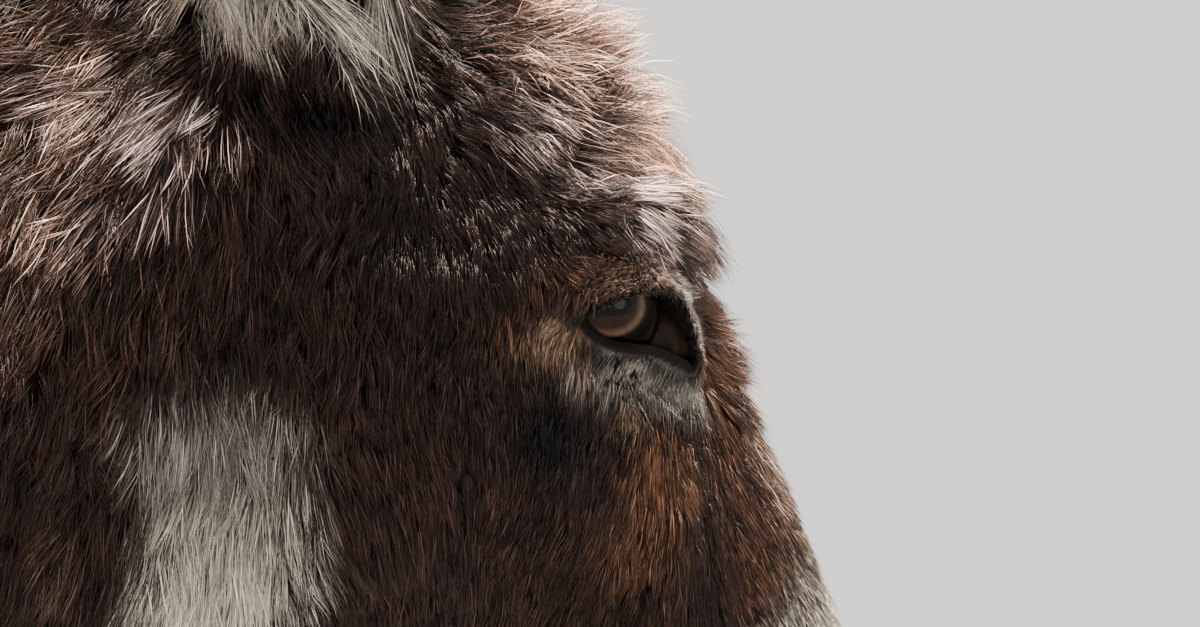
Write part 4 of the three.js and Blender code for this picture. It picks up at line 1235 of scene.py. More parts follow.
def hide_values():
    """What the hide gives each hair, one row a vertex: normal, lie, combing, marks, width and cover."""
    points, normals = get_points(skin), get_normals(skin)
    height = from_eyes(points)[:, 1]
    flow, values = groom(points)
    along, above, gap = eye_place(points)
    overhang = (above + LID_TILT * along > OVERHANG_FROM) & (gap < OVERHANG_REACH)
    longest = CAP_LEAST + np.maximum(gap - CAP_FROM, 0) * CAP_RISE
    values[:, 0] = np.where(overhang, np.minimum(values[:, 0], longest), values[:, 0])
    hollow = inside_ear(points, normals, ears)
    values[:, 0] *= 1 + EAR_WOOL * hollow * smoothstep(*EAR_WOOL_BAND, height)
    view = view_share(points)
    by_eye = smoothstep(*BY_EYE, gap)
    width = hair_width(points) * (1 - by_eye * (LIDS_FINER[0] + LIDS_FINER[1] * view))
    cover = COVER_BODY + COVER_VIEW * view + COVER_HEAD * head_share(points)
    cover *= 1 - LIDS_BARER * by_eye
    cover += COVER_LEGS * smoothstep(*LEGS_BAND, height)
    cover *= 1 - skin_marks[:, MARK_NAMES.index("bare")]
    return np.column_stack((normals, flow, values, skin_marks, width, cover))


def hide_corners():
    """The hide's triangles, as the numbers of their three corners."""
    corners = np.empty(len(skin.data.polygons) * 3, np.int32)
    skin.data.polygons.foreach_get("vertices", corners)
    return corners.reshape(-1, 3)


def plant(rng, given):
    """Roots scattered over the hide, and what the hide gives each of them."""
    corners = hide_corners()
    triangle = get_points(skin)[corners]
    sides = triangle[:, 1] - triangle[:, 0], triangle[:, 2] - triangle[:, 0]
    area = np.linalg.norm(np.cross(*sides), axis=1) / 2
    middle = given[corners].mean(1)
    each = HAIR_FILL * middle[:, LENGTH] / 1000 * middle[:, WIDTH]
    count = (area * middle[:, COVER] / each + rng.random(len(area))).astype(int)
    chosen = np.repeat(np.arange(len(area)), count)
    u, v = rng.random((2, len(chosen)))
    over = u + v > 1
    u[over], v[over] = 1 - u[over], 1 - v[over]
    weights = np.column_stack((1 - u - v, u, v))[:, :, None]
    return (triangle[chosen] * weights).sum(1), (given[corners[chosen]] * weights).sum(1)


def nearest_of(places, leaders):
    """The nearest leader to each place."""
    tree = kdtree.KDTree(len(leaders))
    for index, place in enumerate(leaders):
        tree.insert(place, index)
    tree.balance()
    return np.fromiter((tree.find(place)[1] for place in places), np.int64, len(places))


def turn_about(vectors, axes, angles):
    """Turns each vector about an axis square to it."""
    cos, sin = np.cos(angles)[:, None], np.sin(angles)[:, None]
    return vectors * cos + np.cross(axes, vectors) * sin


CURL_RISE = 0.35


class Hairs:
    """The hairs' roots and the way each leaves the hide and bends, as arrays."""

    def __init__(self, roots, normals, flow, length, lift, back, curl, sway):
        along = unit(flow - normals * (flow * normals).sum(1)[:, None])
        along = turn_about(along, normals, sway)
        self.roots = roots
        self.length = length
        self.start = along * np.cos(lift)[:, None] + normals * np.sin(lift)[:, None]
        side = np.cross(normals, along)
        bend = -normals * (lift * back)[:, None] + side * curl[:, None]
        bend += normals * (CURL_RISE * np.abs(curl))[:, None]
        bend -= self.start * (bend * self.start).sum(1)[:, None]
        self.bend_angle = np.maximum(np.linalg.norm(bend, axis=1), 1e-3)
        self.bend = bend / self.bend_angle[:, None]

    def at(self, t):
        """Where each hair is at share t of its length."""
        angle = self.bend_angle * t
        ahead = (np.sin(angle) / self.bend_angle * self.length)[:, None]
        aside = ((1 - np.cos(angle)) / self.bend_angle * self.length)[:, None]
        return self.roots + self.start * ahead + self.bend * aside


# how the hairs gather: single numbers, the ends of a random spread, or a start and a gain with curl
LEAD_CHANCE = 2.2
LOCK_SHARE = 0.14
LOOSENESS = (0.08, 0.30)
LOCK_SWAY, TUFT_SWAY, HAIR_SWAY = 0.9, 0.7, 0.8
LOCK_LONG, TUFT_LONG, HAIR_LONG = (0.85, 1.2), (0.8, 1.2), (0.7, 1.15)
TUFT_CURL, HAIR_CURL = 0.95, 0.5
STANDING = 1.2
STANDING_LIMITS = (0.05, 0.9)
HAIR_STANDING, LEAD_STANDING = (0.3, 1.05), 0.72
LOCK_LIFT, HAIR_LIFT, LEAD_LIFT = (0.6, 1.5), (0.2, 1.0), 0.6
LIFT_BEND = 0.4
GATHER = (0.22, 0.62, 2.2)
GATHER_SPREAD = (0.4, 1.15)
GATHER_MOST = 0.95
TUFT_CLOSING, LOCK_CLOSING = 1.3, 1.5
FALL_BACK = (1.5, -2.2)
FALL_LIMITS = (0.2, 1.3)
LOCK_GATHER = (0.10, 0.34, 1.7)
WAVE_WIDTH = 0.055
WAVE_TURN = 8.5
LOCK_TONE, TUFT_TONE, HAIR_TONE = 0.22, 0.14, 1.10
RARE_LIGHT = 4.4
LOCK_PART, TUFT_PART = 0.6, 0.4


def comb(rng, roots, given):
    """Combs planted roots into tufts and locks: the hairs' path, their tones and their locks' tones."""
    normals, flow = unit(given[:, NORMAL]), given[:, LIE]
    long, lift, curl, clump, depth = (given[:, COMBING] / (1000, 1, 1, 1000, 1000)).T
    spacing = given[:, WIDTH] * HAIR_FILL * long / np.maximum(given[:, COVER], 0.3) * LEAD_CHANCE
    leads = np.flatnonzero(rng.random(len(roots)) < spacing / clump ** 2)
    locks = leads[rng.random(len(leads)) < LOCK_SHARE]
    tuft_of = nearest_of(roots, roots[leads])
    lock_of = nearest_of(roots[leads], roots[locks])
    lock_sway, tuft_sway = rng.normal(0, 1, len(locks)), rng.normal(0, 1, len(leads))
    lock_tone, tuft_tone = rng.random(len(locks)), rng.random(len(leads))
    lock_long, tuft_long = rng.uniform(*LOCK_LONG, len(locks)), rng.uniform(*TUFT_LONG, len(leads))
    lock_lift = rng.uniform(*LOCK_LIFT, len(locks))
    looseness = LOOSENESS[0] + LOOSENESS[1] * curl
    sway_of_tuft = looseness[leads] * (LOCK_SWAY * lock_sway[lock_of] + TUFT_SWAY * tuft_sway)
    curl_of_tuft = curl[leads] * rng.normal(0, TUFT_CURL, len(leads))
    standing = np.arcsin(np.clip(depth / long * STANDING, *STANDING_LIMITS))

    def hairs(chosen, tuft, own):
        """Hairs at the chosen roots in their tufts, each with its own ways (own 1) or its tuft's (0)."""
        count = len(chosen)
        sway = sway_of_tuft[tuft] + own * looseness[chosen] * rng.normal(0, HAIR_SWAY, count)
        up = standing[chosen] * (rng.uniform(*HAIR_STANDING, count) if own else LEAD_STANDING)
        up = up + lift[chosen] * (rng.uniform(*HAIR_LIFT, count) if own else LEAD_LIFT)
        up = up * lock_lift[lock_of[tuft]] ** (LIFT_BEND + curl[chosen])
        back = np.clip(FALL_BACK[0] + FALL_BACK[1] * lift[chosen], *FALL_LIMITS)
        length = long[chosen] * lock_long[lock_of[tuft]] * tuft_long[tuft]
        length = length * (rng.uniform(*HAIR_LONG, count) if own else 1)
        bend = curl_of_tuft[tuft] + own * curl[chosen] * rng.normal(0, HAIR_CURL, count)
        return Hairs(roots[chosen], normals[chosen], flow[chosen], length, up, back, bend, sway)

    def gathering(least, gain, bend):
        return least + gain * np.clip(curl * bend, 0, 1)

    every = hairs(np.arange(len(roots)), tuft_of, 1)
    leading = hairs(leads, np.arange(len(leads)), 0)
    lock_leading = hairs(locks, np.searchsorted(leads, locks), 0)
    gather = gathering(*GATHER) * rng.uniform(*GATHER_SPREAD, len(roots))
    gather = np.clip(gather, 0, GATHER_MOST)[:, None]
    lock_gather = gathering(*LOCK_GATHER)[leads][:, None]
    wave_turn, wave_wide = rng.uniform(0, 2 * math.pi, len(leads)), WAVE_WIDTH * (long * curl)[leads]
    wave_way = unit(np.cross(normals, flow))[leads]

    def path(t):
        """Where each hair is at share t of its length, drawn to its tuft, and its tuft to its lock."""
        lead = leading.at(t)
        lead = lead + lock_gather * t ** LOCK_CLOSING * (lock_leading.at(t)[lock_of] - lead)
        wave = t * wave_wide * np.sin(wave_turn + WAVE_TURN * t)
        lead = lead + wave[:, None] * wave_way
        own = every.at(t) + (0.5 * wave)[tuft_of][:, None] * wave_way[tuft_of]
        return own + gather * t ** TUFT_CLOSING * (lead[tuft_of] - own)

    tone = LOCK_TONE * lock_tone[lock_of][tuft_of] + TUFT_TONE * tuft_tone[tuft_of]
    tone = tone + HAIR_TONE * rng.random(len(roots)) ** RARE_LIGHT
    return path, tone, LOCK_PART * lock_tone[lock_of][tuft_of] + TUFT_PART * tuft_tone[tuft_of]


HAIR_TAPER = 0.8
TUFT_SHADING = (0.2, 0.6)
WRAP_FIT = (0.99, 0.004)
WRAP_PATCH = 0.003


def hair_mesh(name, path, chosen, widths, normals, tone, marked, axis, stations, pointed, material):
    """One piece of the chosen hairs: closed three-sided spikes, ringed at the stations along them."""
    count = len(chosen)
    places = [path(t)[chosen] for t in stations]
    root, tip = path(0.0)[chosen], path(1.0)[chosen]
    rings = []
    for index, (place, after) in enumerate(zip(places, places[1:] + [tip])):
        ahead = unit(after - (places[index - 1] if index else root))
        across = unit(np.cross(ahead, normals[chosen]))
        rise = np.cross(across, ahead)
        half = widths[chosen][:, None] / 2 * (HAIR_TAPER if index else 1.0)
        rings.append(np.stack((place + across * half, place + rise * half, place - across * half), 1))
    points = np.concatenate(([root[:, None]] if pointed else []) + rings + [tip[:, None]], 1)
    each = points.shape[1]
    first = 1 if pointed else 0
    faces = [(0, 2, 1), (0, 3, 2), (0, 1, 3)] if pointed else [(0, 2, 1)]
    for low in range(first, first + 3 * (len(rings) - 1), 3):
        for corner in range(3):
            a, b = low + corner, low + (corner + 1) % 3
            faces += [(a, b, b + 3), (a, b + 3, a + 3)]
    last = each - 4
    faces += [(last, last + 1, each - 1), (last + 1, last + 2, each - 1), (last + 2, last, each - 1)]
    faces = (np.array(faces)[None] + (np.arange(count) * each)[:, None, None]).reshape(-1, 3)
    piece = mesh_piece(name, points.reshape(-1, 3), faces, material)
    for mark, values in zip(MARK_NAMES, marked[chosen].T):
        give_values(piece, mark, np.repeat(values, each))
    give_values(piece, "tone", np.repeat(tone[chosen], each))
    shares = np.array([0.0] * first + [t for t in stations for _ in range(3)] + [1.0])
    offsets = np.array([0.0] * first + [0.5, 0.0, -0.5] * len(rings) + [0.0])
    # a broad tuft has only a root and a tip, so its painted shade runs less from dark at the root to light
    # at the tip than a fine hair's does
    one_ring_tuft = len(stations) == 1 and not pointed
    shading = TUFT_SHADING[0] + TUFT_SHADING[1] * shares if one_ring_tuft else shares
    give_values(piece, "along", np.tile(shading, count))
    patch = np.column_stack((offsets * WRAP_PATCH, shares * WRAP_PATCH))
    flat = around(root, *axis)[:, None, :] * WRAP_FIT[0] + WRAP_FIT[1] + patch[None]
    layer = piece.data.uv_layers.new(name="OFBake")
    layer.data.foreach_set("uv", flat.reshape(-1, 2)[faces.ravel()].astype(np.float32).ravel())
    return piece


def around(points, axis_from, axis_to):
    """A wrap round an axis: the angle about it and the distance along it, both from 0 to 1."""
    axis = np.array(axis_to, float) - axis_from
    reach = np.linalg.norm(axis)
    axis /= reach
    away = points - axis_from
    along = away @ axis
    up = np.cross(axis, (0, 1, 0))
    angle = np.arctan2(away[:, 1], away @ up) / (2 * math.pi) + 0.5
    return np.column_stack((np.clip(angle, 0, 1), np.clip(along / reach, 0, 1)))


ZONES = {
    # zone: where it is, and the two ends of the axis that its wrap goes round
    "ears": (lambda p: from_eyes(p)[:, 1] > 175, ((0.60, 0, 1.44), (0.50, 0, 1.64))),
    "head": (lambda p: from_eyes(p)[:, 0] > -305, ((0.50, 0, 1.55), (0.93, 0, 0.88))),
    "neck": (lambda p: p[:, 0] > 0.30, ((0.55, 0, 1.55), (0.20, 0, 0.70))),
    "trunk": (lambda p: p[:, 2] > 0.60, ((0.55, 0, 0.95), (-0.95, 0, 0.95))),
    "legs": (lambda p: p[:, 2] <= 0.60, ((0.10, 0, 0.65), (-0.10, 0, -0.05))),
}

STATIONS = {"long": (0.30, 0.66), "fine": (0.42,), "tufts": (0.0,)}
LONG_HAIR = 26.0
MARK_SCATTER = 2.6
FADED_AND_HIGHLIGHT_LOCKS = (0.15, 1.7)
NECK_AHEAD = (-90, -120)
PAINTED_HIGHLIGHT_NECK = (4.2, -1.65)
PAINTED_HIGHLIGHT_BROW = (2.8, -0.45)
TONE_MIDDLE = 0.39
TONE_SPREAD = (0.40, 0.60)
SPECKS = 26
SPECK_RADIUS = 0.95
SPECKS_ALONG = (-4, 24)
SPECKS_ABOVE = (-27, -18)

coat_material = coloured_material("hair", roughness=0.42, sheen=0.28)
shaggy_material = coloured_material("shaggy_hair", roughness=0.62, sheen=0.12)
rng = np.random.default_rng(7)
roots, given = plant(rng, hide_values())
path, tone, lock_tone = comb(rng, roots, given)
normals, widths = unit(given[:, NORMAL]), given[:, WIDTH]
marked = np.clip(given[:, COMBING.stop:WIDTH], 0, 1)
marked = np.clip(marked + MARK_SCATTER * marked * (1 - marked) * rng.uniform(-1, 1, (len(roots), 1)), 0, 1)
faded, painted_highlight, black = (MARK_NAMES.index(name) for name in ("faded", "painted_highlight", "black"))
# faded tips and painted highlight: stronger on some locks than on others
marked[:, faded] = np.clip(marked[:, faded] * (FADED_AND_HIGHLIGHT_LOCKS[0] + FADED_AND_HIGHLIGHT_LOCKS[1] * lock_tone), 0, 1)
# painted highlight: it falls on some locks and not on others, differently on the neck and the brow
on_neck = smoothstep(*NECK_AHEAD, from_eyes(roots)[:, 0])
lit = on_neck * (PAINTED_HIGHLIGHT_NECK[0] * lock_tone + PAINTED_HIGHLIGHT_NECK[1])
lit = lit + (1 - on_neck) * (PAINTED_HIGHLIGHT_BROW[0] * lock_tone + PAINTED_HIGHLIGHT_BROW[1])
marked[:, painted_highlight] = np.clip(marked[:, painted_highlight] * lit, 0, 1)
tone = TONE_MIDDLE + (tone - TONE_MIDDLE) * (TONE_SPREAD[0] + TONE_SPREAD[1] * view_share(roots))

# dark specks, where the feelers stand below each eye
for side in (-1, 1):
    axes, middle = eye_axes(side)
    specks = np.column_stack((rng.uniform(*SPECKS_ALONG, SPECKS), rng.uniform(*SPECKS_ABOVE, SPECKS)))
    local = (roots - middle) @ axes.T * 1000
    near_specks = (np.abs(local[:, 0] - 10) < 18) & (np.abs(local[:, 1] + 22) < 8) & (local[:, 2] > 0)
    under = np.flatnonzero(near_specks)
    gaps = np.linalg.norm(local[under, None, :2] - specks[None], axis=2).min(1)
    marked[under[gaps < SPECK_RADIUS], black] = 1

near = view_share(roots) > 0.5
long_hair = given[:, LENGTH] > LONG_HAIR
unplaced = np.ones(len(roots), bool)
for zone, (inside, axis) in ZONES.items():
    members = inside(roots) & unplaced
    unplaced &= ~members
    for kind, group in (("long", members & near & long_hair), ("fine", members & near & ~long_hair),
                        ("tufts", members & ~near)):
        if not group.any():
            continue
        pointed = kind != "tufts"
        group = np.flatnonzero(group)
        group = group[np.argsort(roots[group, 0])]
        triangles = 6 * len(STATIONS[kind]) if pointed else 4
        number = math.ceil(len(group) * triangles / TRIANGLES_A_PIECE)
        for index, chosen in enumerate(np.array_split(group, number)):
            hair_mesh(f"coat_{zone}_{kind}_{index + 1}", path, chosen, widths, normals, tone, marked, axis,
                      STATIONS[kind], pointed, coat_material if pointed else shaggy_material)


# The mane: short upright hair along the crest from between the ears to the withers, planted in the
# hide and as tall as the frame's comb; its front end is the forelock, which leans over the brow.
MANE_HAIRS = 6000
MANE_WIDTH = 0.0013
MANE_HALF = 0.013
MANE_SPREAD = 0.0065
MANE_ENDS = 0.004
MANE_LEAN = 0.16
FORELOCK_LEAN = 0.5
FORELOCK_AHEAD = (0.60, 0.70)
MANE_TRIM = (0.80, 1.02)
MANE_SHORTEST = 0.014
MANE_UNCOMBED = 0.018
MANE_ROOT_DEPTH = 0.002
MANE_FAN = 0.35
MANE_BOW = 0.06
MANE_STRAY = 0.0022
MANE_BOW_STRAY = 0.0012
MANE_SEARCH = 0.25
MANE_LOCK = 16
MANE_GATHER = 0.38
OVER_BACK = 1.75

hide_surface = BVHTree.FromPolygons([tuple(p) for p in get_points(skin)], hide_corners().tolist())
comb_shape = clean_copy("mane", "mane_shape")
mane_surface = BVHTree.FromObject(comb_shape, bpy.context.evaluated_depsgraph_get())
bpy.data.objects.remove(comb_shape)


def strands(name, curves, width, facing, tone, marked, zone, stations, material):
    """One piece of strands, each from its start to its end and drawn towards its middle point."""
    starts, middles, ends = (np.array(points) for points in curves)
    count = len(starts)

    def path(t):
        return (1 - t) ** 2 * starts + 2 * t * (1 - t) * middles + t ** 2 * ends

    facing = np.broadcast_to(facing, (count, 3))
    return hair_mesh(name, path, np.arange(count), np.full(count, width), facing, tone, marked,
                     ZONES[zone][1], stations, False, material)


def plain_marks(count, **strengths):
    """Marks for hair that grows off the pattern: none but those given."""
    marked = np.zeros((count, len(MARKS)))
    for name, strength in strengths.items():
        marked[:, MARK_NAMES.index(name)] = strength
    return marked


def crest_height(ahead, aside=0.0):
    return hide_surface.ray_cast(Vector((ahead, aside, OVER_BACK)), Vector((0, 0, -1)))[0].z


rng = np.random.default_rng(11)
mane_low, mane_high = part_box("mane")
steps = np.linspace(mane_low.x - 0.02, mane_high.x + 0.01, 80)
crest = np.array([crest_height(step) for step in steps])
crest = np.convolve(np.pad(crest, 4, mode="edge"), np.ones(9) / 9, mode="valid")
slope = np.gradient(crest, steps)
starts, middles, ends = [], [], []
for _ in range(MANE_HAIRS):
    ahead = rng.uniform(mane_low.x + MANE_ENDS, mane_high.x - MANE_ENDS)
    aside = np.clip(rng.normal(0, MANE_SPREAD), -MANE_HALF, MANE_HALF)
    start = np.array((ahead, aside, crest_height(ahead, aside) - MANE_ROOT_DEPTH))
    lean = MANE_LEAN + FORELOCK_LEAN * smoothstep(*FORELOCK_AHEAD, ahead)
    up = np.array((-np.interp(ahead, steps, slope) + lean, MANE_FAN * aside / MANE_HALF, 1.0))
    up /= np.linalg.norm(up)
    hit, _, _, gap = mane_surface.ray_cast(Vector(start + MANE_SEARCH * up), Vector(-up))
    length = (MANE_SEARCH - gap if hit else MANE_UNCOMBED) * rng.uniform(*MANE_TRIM)
    length = max(length, MANE_SHORTEST)
    starts.append(start)
    ends.append(start + up * length + rng.normal(0, MANE_STRAY, 3))
    bow = np.array((MANE_BOW * length, 0, 0))
    middles.append(start + up * length * 0.5 + bow + rng.normal(0, MANE_BOW_STRAY, 3))
starts, middles, ends = np.array(starts), np.array(middles), np.array(ends)
leads = rng.choice(MANE_HAIRS, MANE_HAIRS // MANE_LOCK, replace=False)
lead_of = leads[nearest_of(starts, starts[leads])]
reach = np.linalg.norm(ends - starts, axis=1)
as_lead = (ends - starts)[lead_of] * (reach / reach[lead_of])[:, None]
ends += MANE_GATHER * (as_lead + starts[lead_of] - ends)
tone = 0.35 * rng.random(MANE_HAIRS)[lead_of] + 0.5 * rng.random(MANE_HAIRS) ** 3
mane_hair = strands("mane_hair", (starts, middles, ends), MANE_WIDTH, (0.0, 1.0, 0.0), tone,
                    plain_marks(MANE_HAIRS, warm=0.35, faded=0.12), "neck", (0.0, 0.4, 0.75),
                    coat_material)
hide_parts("mane")


# The tail's tuft: long coarse hair that starts round the lower third of the dock and hangs past it in
# a full brush, thickest below the middle and drawn to a loose point.
TUFT_HAIRS = 1100
TUFT_WIDTH = 0.0014
TUFT_FROM = (-0.01, 0.15)
TUFT_FULLEST = (3.0, 1.3)
TUFT_ROOT_HALF = 0.0115
TUFT_HALF = 0.052
TUFT_POINT_HALF = 0.016
TUFT_LOOSE = 0.012
TUFT_STRAY = 0.003
TUFT_ENDS = (0.30, 0.69)
TUFT_FULL_AT = 0.42

rng = np.random.default_rng(12)
tuft_low, tuft_high = (np.array(corner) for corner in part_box("tail_tuft"))
tuft_middle = (tuft_low + tuft_high) / 2
drop = tuft_high[2] - tuft_low[2]
turns = rng.uniform(0, 2 * math.pi, TUFT_HAIRS)
from_height = tuft_high[2] + rng.uniform(*TUFT_FROM, TUFT_HAIRS)
to_share = rng.beta(*TUFT_FULLEST, TUFT_HAIRS)
outer = rng.uniform(0.25, 1.0, TUFT_HAIRS) ** 0.6
ring = np.column_stack((np.cos(turns), np.sin(turns), np.zeros(TUFT_HAIRS)))
starts = np.array((tuft_middle[0] - 0.0025, 0, 0)) + ring * TUFT_ROOT_HALF
starts[:, 2] = from_height
middles = np.array((tuft_middle[0], 0, 0)) + ring * (TUFT_HALF * outer[:, None])
middles[:, 2] = tuft_high[2] - TUFT_FULL_AT * drop * to_share - 0.01
end_half = TUFT_POINT_HALF * outer + TUFT_LOOSE * (1 - to_share)
ends = np.array((tuft_middle[0] + 0.002, 0, 0)) + ring * end_half[:, None]
ends += rng.normal(0, TUFT_STRAY, ends.shape)
ends[:, 2] = tuft_high[2] - drop * (TUFT_ENDS[0] + TUFT_ENDS[1] * to_share)
tone = 0.3 * rng.random(TUFT_HAIRS) + 0.4 * rng.random(TUFT_HAIRS) ** 3
brush = strands("tail_tuft_hair", (starts, middles, ends), TUFT_WIDTH, (0.0, 0.0, 1.0) + ring * 0.2, tone,
                plain_marks(TUFT_HAIRS, warm=0.25), "trunk", (0.0, 0.2, 0.4, 0.6, 0.82),
                coat_material)
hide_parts("tail_tuft")


# The hooves: dark upright boxes of horn, ringed by growth and faintly streaked down, with a blunt
# worn edge on the ground and a rounded shoulder. Each is worked up from a copy of the frame's hoof.
HOOF_RINGS = 7
RING_HEIGHTS = (0.45, 0.25)
WALL_FOOT = 0.004
WALL_TOP = 0.003
ROUNDED = 0.85
WORN = (0.006, 0.03)
SHOULDER = (0.014, 0.12)
HORN_COLOURS = ((0.014, 0.0112, 0.0094, 1), (0.046, 0.037, 0.029, 1))
HORN_STREAK = (0.018, 0.015, 0.013, 1)
HORN_STREAKING = 0.7
HORN_ROUGHNESS = (0.3, 0.38)


def horn_material():
    material, tree, sockets = new_material("horn", roughness=0.5, sheen=0.22)
    place = add_node(tree, "ShaderNodeTexCoord").outputs["Object"]
    streaks = noise(tree, place, scale=420, detail=4, stretch=(1.0, 1.0, 0.08))
    growth = noise(tree, place, scale=150, detail=3, stretch=(0.12, 0.12, 1.0))
    colour = mix_colours(tree, growth, *HORN_COLOURS)
    colour = mix_colours(tree, maths(tree, "MULTIPLY", streaks, HORN_STREAKING), colour, HORN_STREAK)
    tree.links.new(colour, sockets["Base Color"])
    tree.links.new(maths(tree, "MULTIPLY_ADD", growth, *HORN_ROUGHNESS), sockets["Roughness"])
    add_bump(tree, sockets, maths(tree, "ADD", growth, streaks), strength=0.5, distance=0.0006)
    return material


horn = horn_material()
for corner in CORNERS:
    node = "hoof_" + corner
    hoof = clean_copy(node, node + "_horn")
    deselect()
    hoof.select_set(True)
    edit_whole(hoof)
    bpy.ops.mesh.tris_convert_to_quads(face_threshold=1.2, shape_threshold=1.4)
    bpy.ops.mesh.subdivide(number_cuts=3)
    bpy.ops.object.mode_set(mode="OBJECT")
    low, high = (np.array(point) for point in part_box(node))
    points = get_points(hoof)
    wall = smoothstep(0.0, WALL_FOOT, points[:, 2]) * smoothstep(0.0, WALL_TOP, high[2] - points[:, 2])
    flat = relax(hoof, points, 8, 0.5)
    points[:, :2] += (flat - points)[:, :2] * (ROUNDED * wall)[:, None]
    set_points(hoof, points)
    turn = 2 * math.pi * HOOF_RINGS * points[:, 2] / (high[2] - low[2])
    ridge = wall * (RING_HEIGHTS[0] * np.sin(turn) + RING_HEIGHTS[1] * np.sin(2.3 * turn + 1))
    points = points + get_normals(hoof) * (1, 1, 0) * (ridge / 1000)[:, None]
    centre = (low + high) / 2
    for (reach, pull), from_edge in ((WORN, points[:, 2]), (SHOULDER, high[2] - points[:, 2])):
        drawn_in = pull * smoothstep(reach, 0.0, from_edge) ** 2
        points[:, :2] += (centre - points)[:, :2] * drawn_in[:, None]
    points[:, 2] = np.maximum(points[:, 2], 0)
    set_points(hoof, points)
    bpy.ops.object.shade_smooth()
    hoof.data.materials.append(horn)
    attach(hoof, "root")
    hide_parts(node)


# The coronets: a thick short fringe that grows round the foot of each leg, just above the horn, and
# hangs over the hoof's rounded top edge.
FRINGE_HAIRS = 560
FRINGE_WIDTH = 0.0017
FRINGE_FROM = (0.003, 0.024)
FRINGE_LONG = (0.014, 0.024)
FRINGE_MIDDLE = (0.42, -0.22)
FRINGE_SPREAD = (0.30, 0.50)
FRINGE_DROP = -0.85
LEG_REACH = 0.07
LEG_BAND = 0.008

rng = np.random.default_rng(14)
hide = get_points(skin)
starts, middles, ends, outs = [], [], [], []
for corner in CORNERS:
    low, high = (np.array(point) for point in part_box("hoof_" + corner))
    by_hoof = np.linalg.norm(hide[:, :2] - (low + high)[:2] / 2, axis=1) < LEG_REACH
    centre = hide[by_hoof & (np.abs(hide[:, 2] - high[2] - LEG_BAND) < LEG_BAND)].mean(0)
    for _ in range(FRINGE_HAIRS):
        turn = rng.uniform(0, 2 * math.pi)
        out = np.array((math.cos(turn), math.sin(turn), 0))
        centre[2] = high[2] + rng.uniform(*FRINGE_FROM)
        hit = hide_surface.ray_cast(Vector(centre + 0.08 * out), Vector(-out))[0]
        if hit is None:
            continue
        long = rng.uniform(*FRINGE_LONG)
        start = np.array(hit) - 0.001 * out
        spread = rng.uniform(*FRINGE_SPREAD)
        sway = rng.normal(0, 0.12, 3)
        starts.append(start)
        middles.append(start + long * (FRINGE_MIDDLE[0] * out + (0, 0, FRINGE_MIDDLE[1])))
        ends.append(start + long * (spread * out + (0, 0, FRINGE_DROP) + sway * (1, 1, 0.4)))
        outs.append(out)
tone = 0.18 + 0.30 * rng.random(len(starts))
strands("coronet_hair", (starts, middles, ends), FRINGE_WIDTH, np.array(outs) + (0, 0, 0.3), tone,
        skin_marks[nearest_of(starts, hide)], "legs", (0.0, 0.4, 0.75), shaggy_material)


# Lashes and whiskers: stiff single hairs. Lashes stand out along the upper lid and droop over the
# ball, and feelers stand below the eyes, on the lips and on the chin.
LASHES = 90
LASH_WIDTH = 0.00032
LASH_LONG = (6.5, 11.0)
UPPER_LID = (12, 189, 400)
LASH_LONGEST_AT = 8
LASH_STAND = 1.3
LASH_DROOP = (0.10, 0.12)
EYE_FEELERS = 16
EYE_FEELER_LONG = (0.012, 0.028)
MUZZLE_FEELERS = 130
MUZZLE_FEELER_LONG = (0.008, 0.020)
MUZZLE_FEELERS_DOWN = (275, 366)
MUZZLE_FEELERS_OUT = (-62, 50)


def add_feeler(root, lean, long, droop):
    """A stiff hair from its root, on its way and of its length, whose end droops by a share of it."""
    starts.append(root)
    middles.append(root + 0.5 * long * lean)
    ends.append(root + long * lean + np.array((0, 0, -droop * long)))


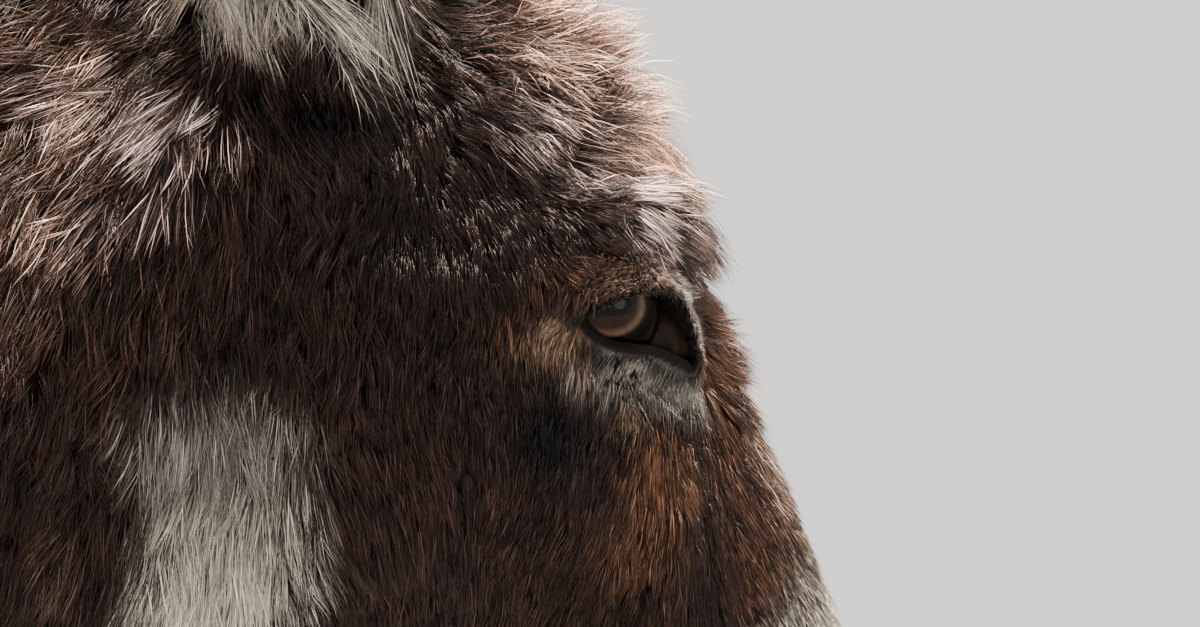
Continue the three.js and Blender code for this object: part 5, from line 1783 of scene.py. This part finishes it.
rng = np.random.default_rng(13)
starts, middles, ends = [], [], []
first, last, count = UPPER_LID
upper_lid = closed_curve(SLIT, count)
for side in (-1, 1):
    axes, middle = eye_axes(side)
    for _ in range(LASHES):
        place = upper_lid[rng.integers(first, last)]
        out = place / np.linalg.norm(place)
        long = rng.uniform(*LASH_LONG) * (1 - 0.3 * abs(place[0] - LASH_LONGEST_AT) / 26)
        start = place + out * LASH_STAND + np.array((0, 0.9, 0))
        towards = np.array((rng.normal(-0.15, 0.15), rng.normal(-0.32, 0.12), 1.0))
        towards /= np.linalg.norm(towards)
        bow = start + towards * long * 0.5 - np.array((0, LASH_DROOP[0] * long, 0))
        end = start + towards * long + np.array((0, LASH_DROOP[1] * long, 0))
        for line, point in ((starts, start), (middles, bow), (ends, end)):
            line.append(middle + point @ axes / 1000)
    for _ in range(EYE_FEELERS):
        place = np.array((rng.uniform(-6, 26), rng.uniform(-26, -19), 30))
        hit, normal, _, _ = hide_surface.ray_cast(Vector(middle + place @ axes / 1000), Vector(-axes[2]))
        if hit is None:
            continue
        lean = np.array(normal) * 0.75 + np.array((0.1, 0, -0.6)) + rng.normal(0, 0.12, 3)
        add_feeler(np.array(hit), lean, rng.uniform(*EYE_FEELER_LONG), 0.2)
    for _ in range(MUZZLE_FEELERS):
        down = rng.uniform(*MUZZLE_FEELERS_DOWN)
        out = rng.uniform(*MUZZLE_FEELERS_OUT)
        flat = (down * DOWN_FACE + out * OUT_OF_FACE) / 1000
        where = between_eyes + np.array((flat[0], side * 0.12, flat[1]))
        hit, normal, _, _ = hide_surface.ray_cast(Vector(where), Vector((0, -side, 0)))
        if hit is None or nostril_share(np.array([hit]))[0] < 1.3:
            continue
        lean = np.array(normal) * 0.9 + np.array((0.15, 0, -0.35)) + rng.normal(0, 0.15, 3)
        long = rng.uniform(*MUZZLE_FEELER_LONG) + (0.018 if rng.random() < 0.25 else 0)
        add_feeler(np.array(hit), lean, long, 0.25)
tone = 0.25 * rng.random(len(starts))
strands("lashes_and_whiskers", (starts, middles, ends), LASH_WIDTH, (0.3, 0.2, 0.9), tone,
        plain_marks(len(starts)), "head", (0.0, 0.35, 0.7), coat_material)
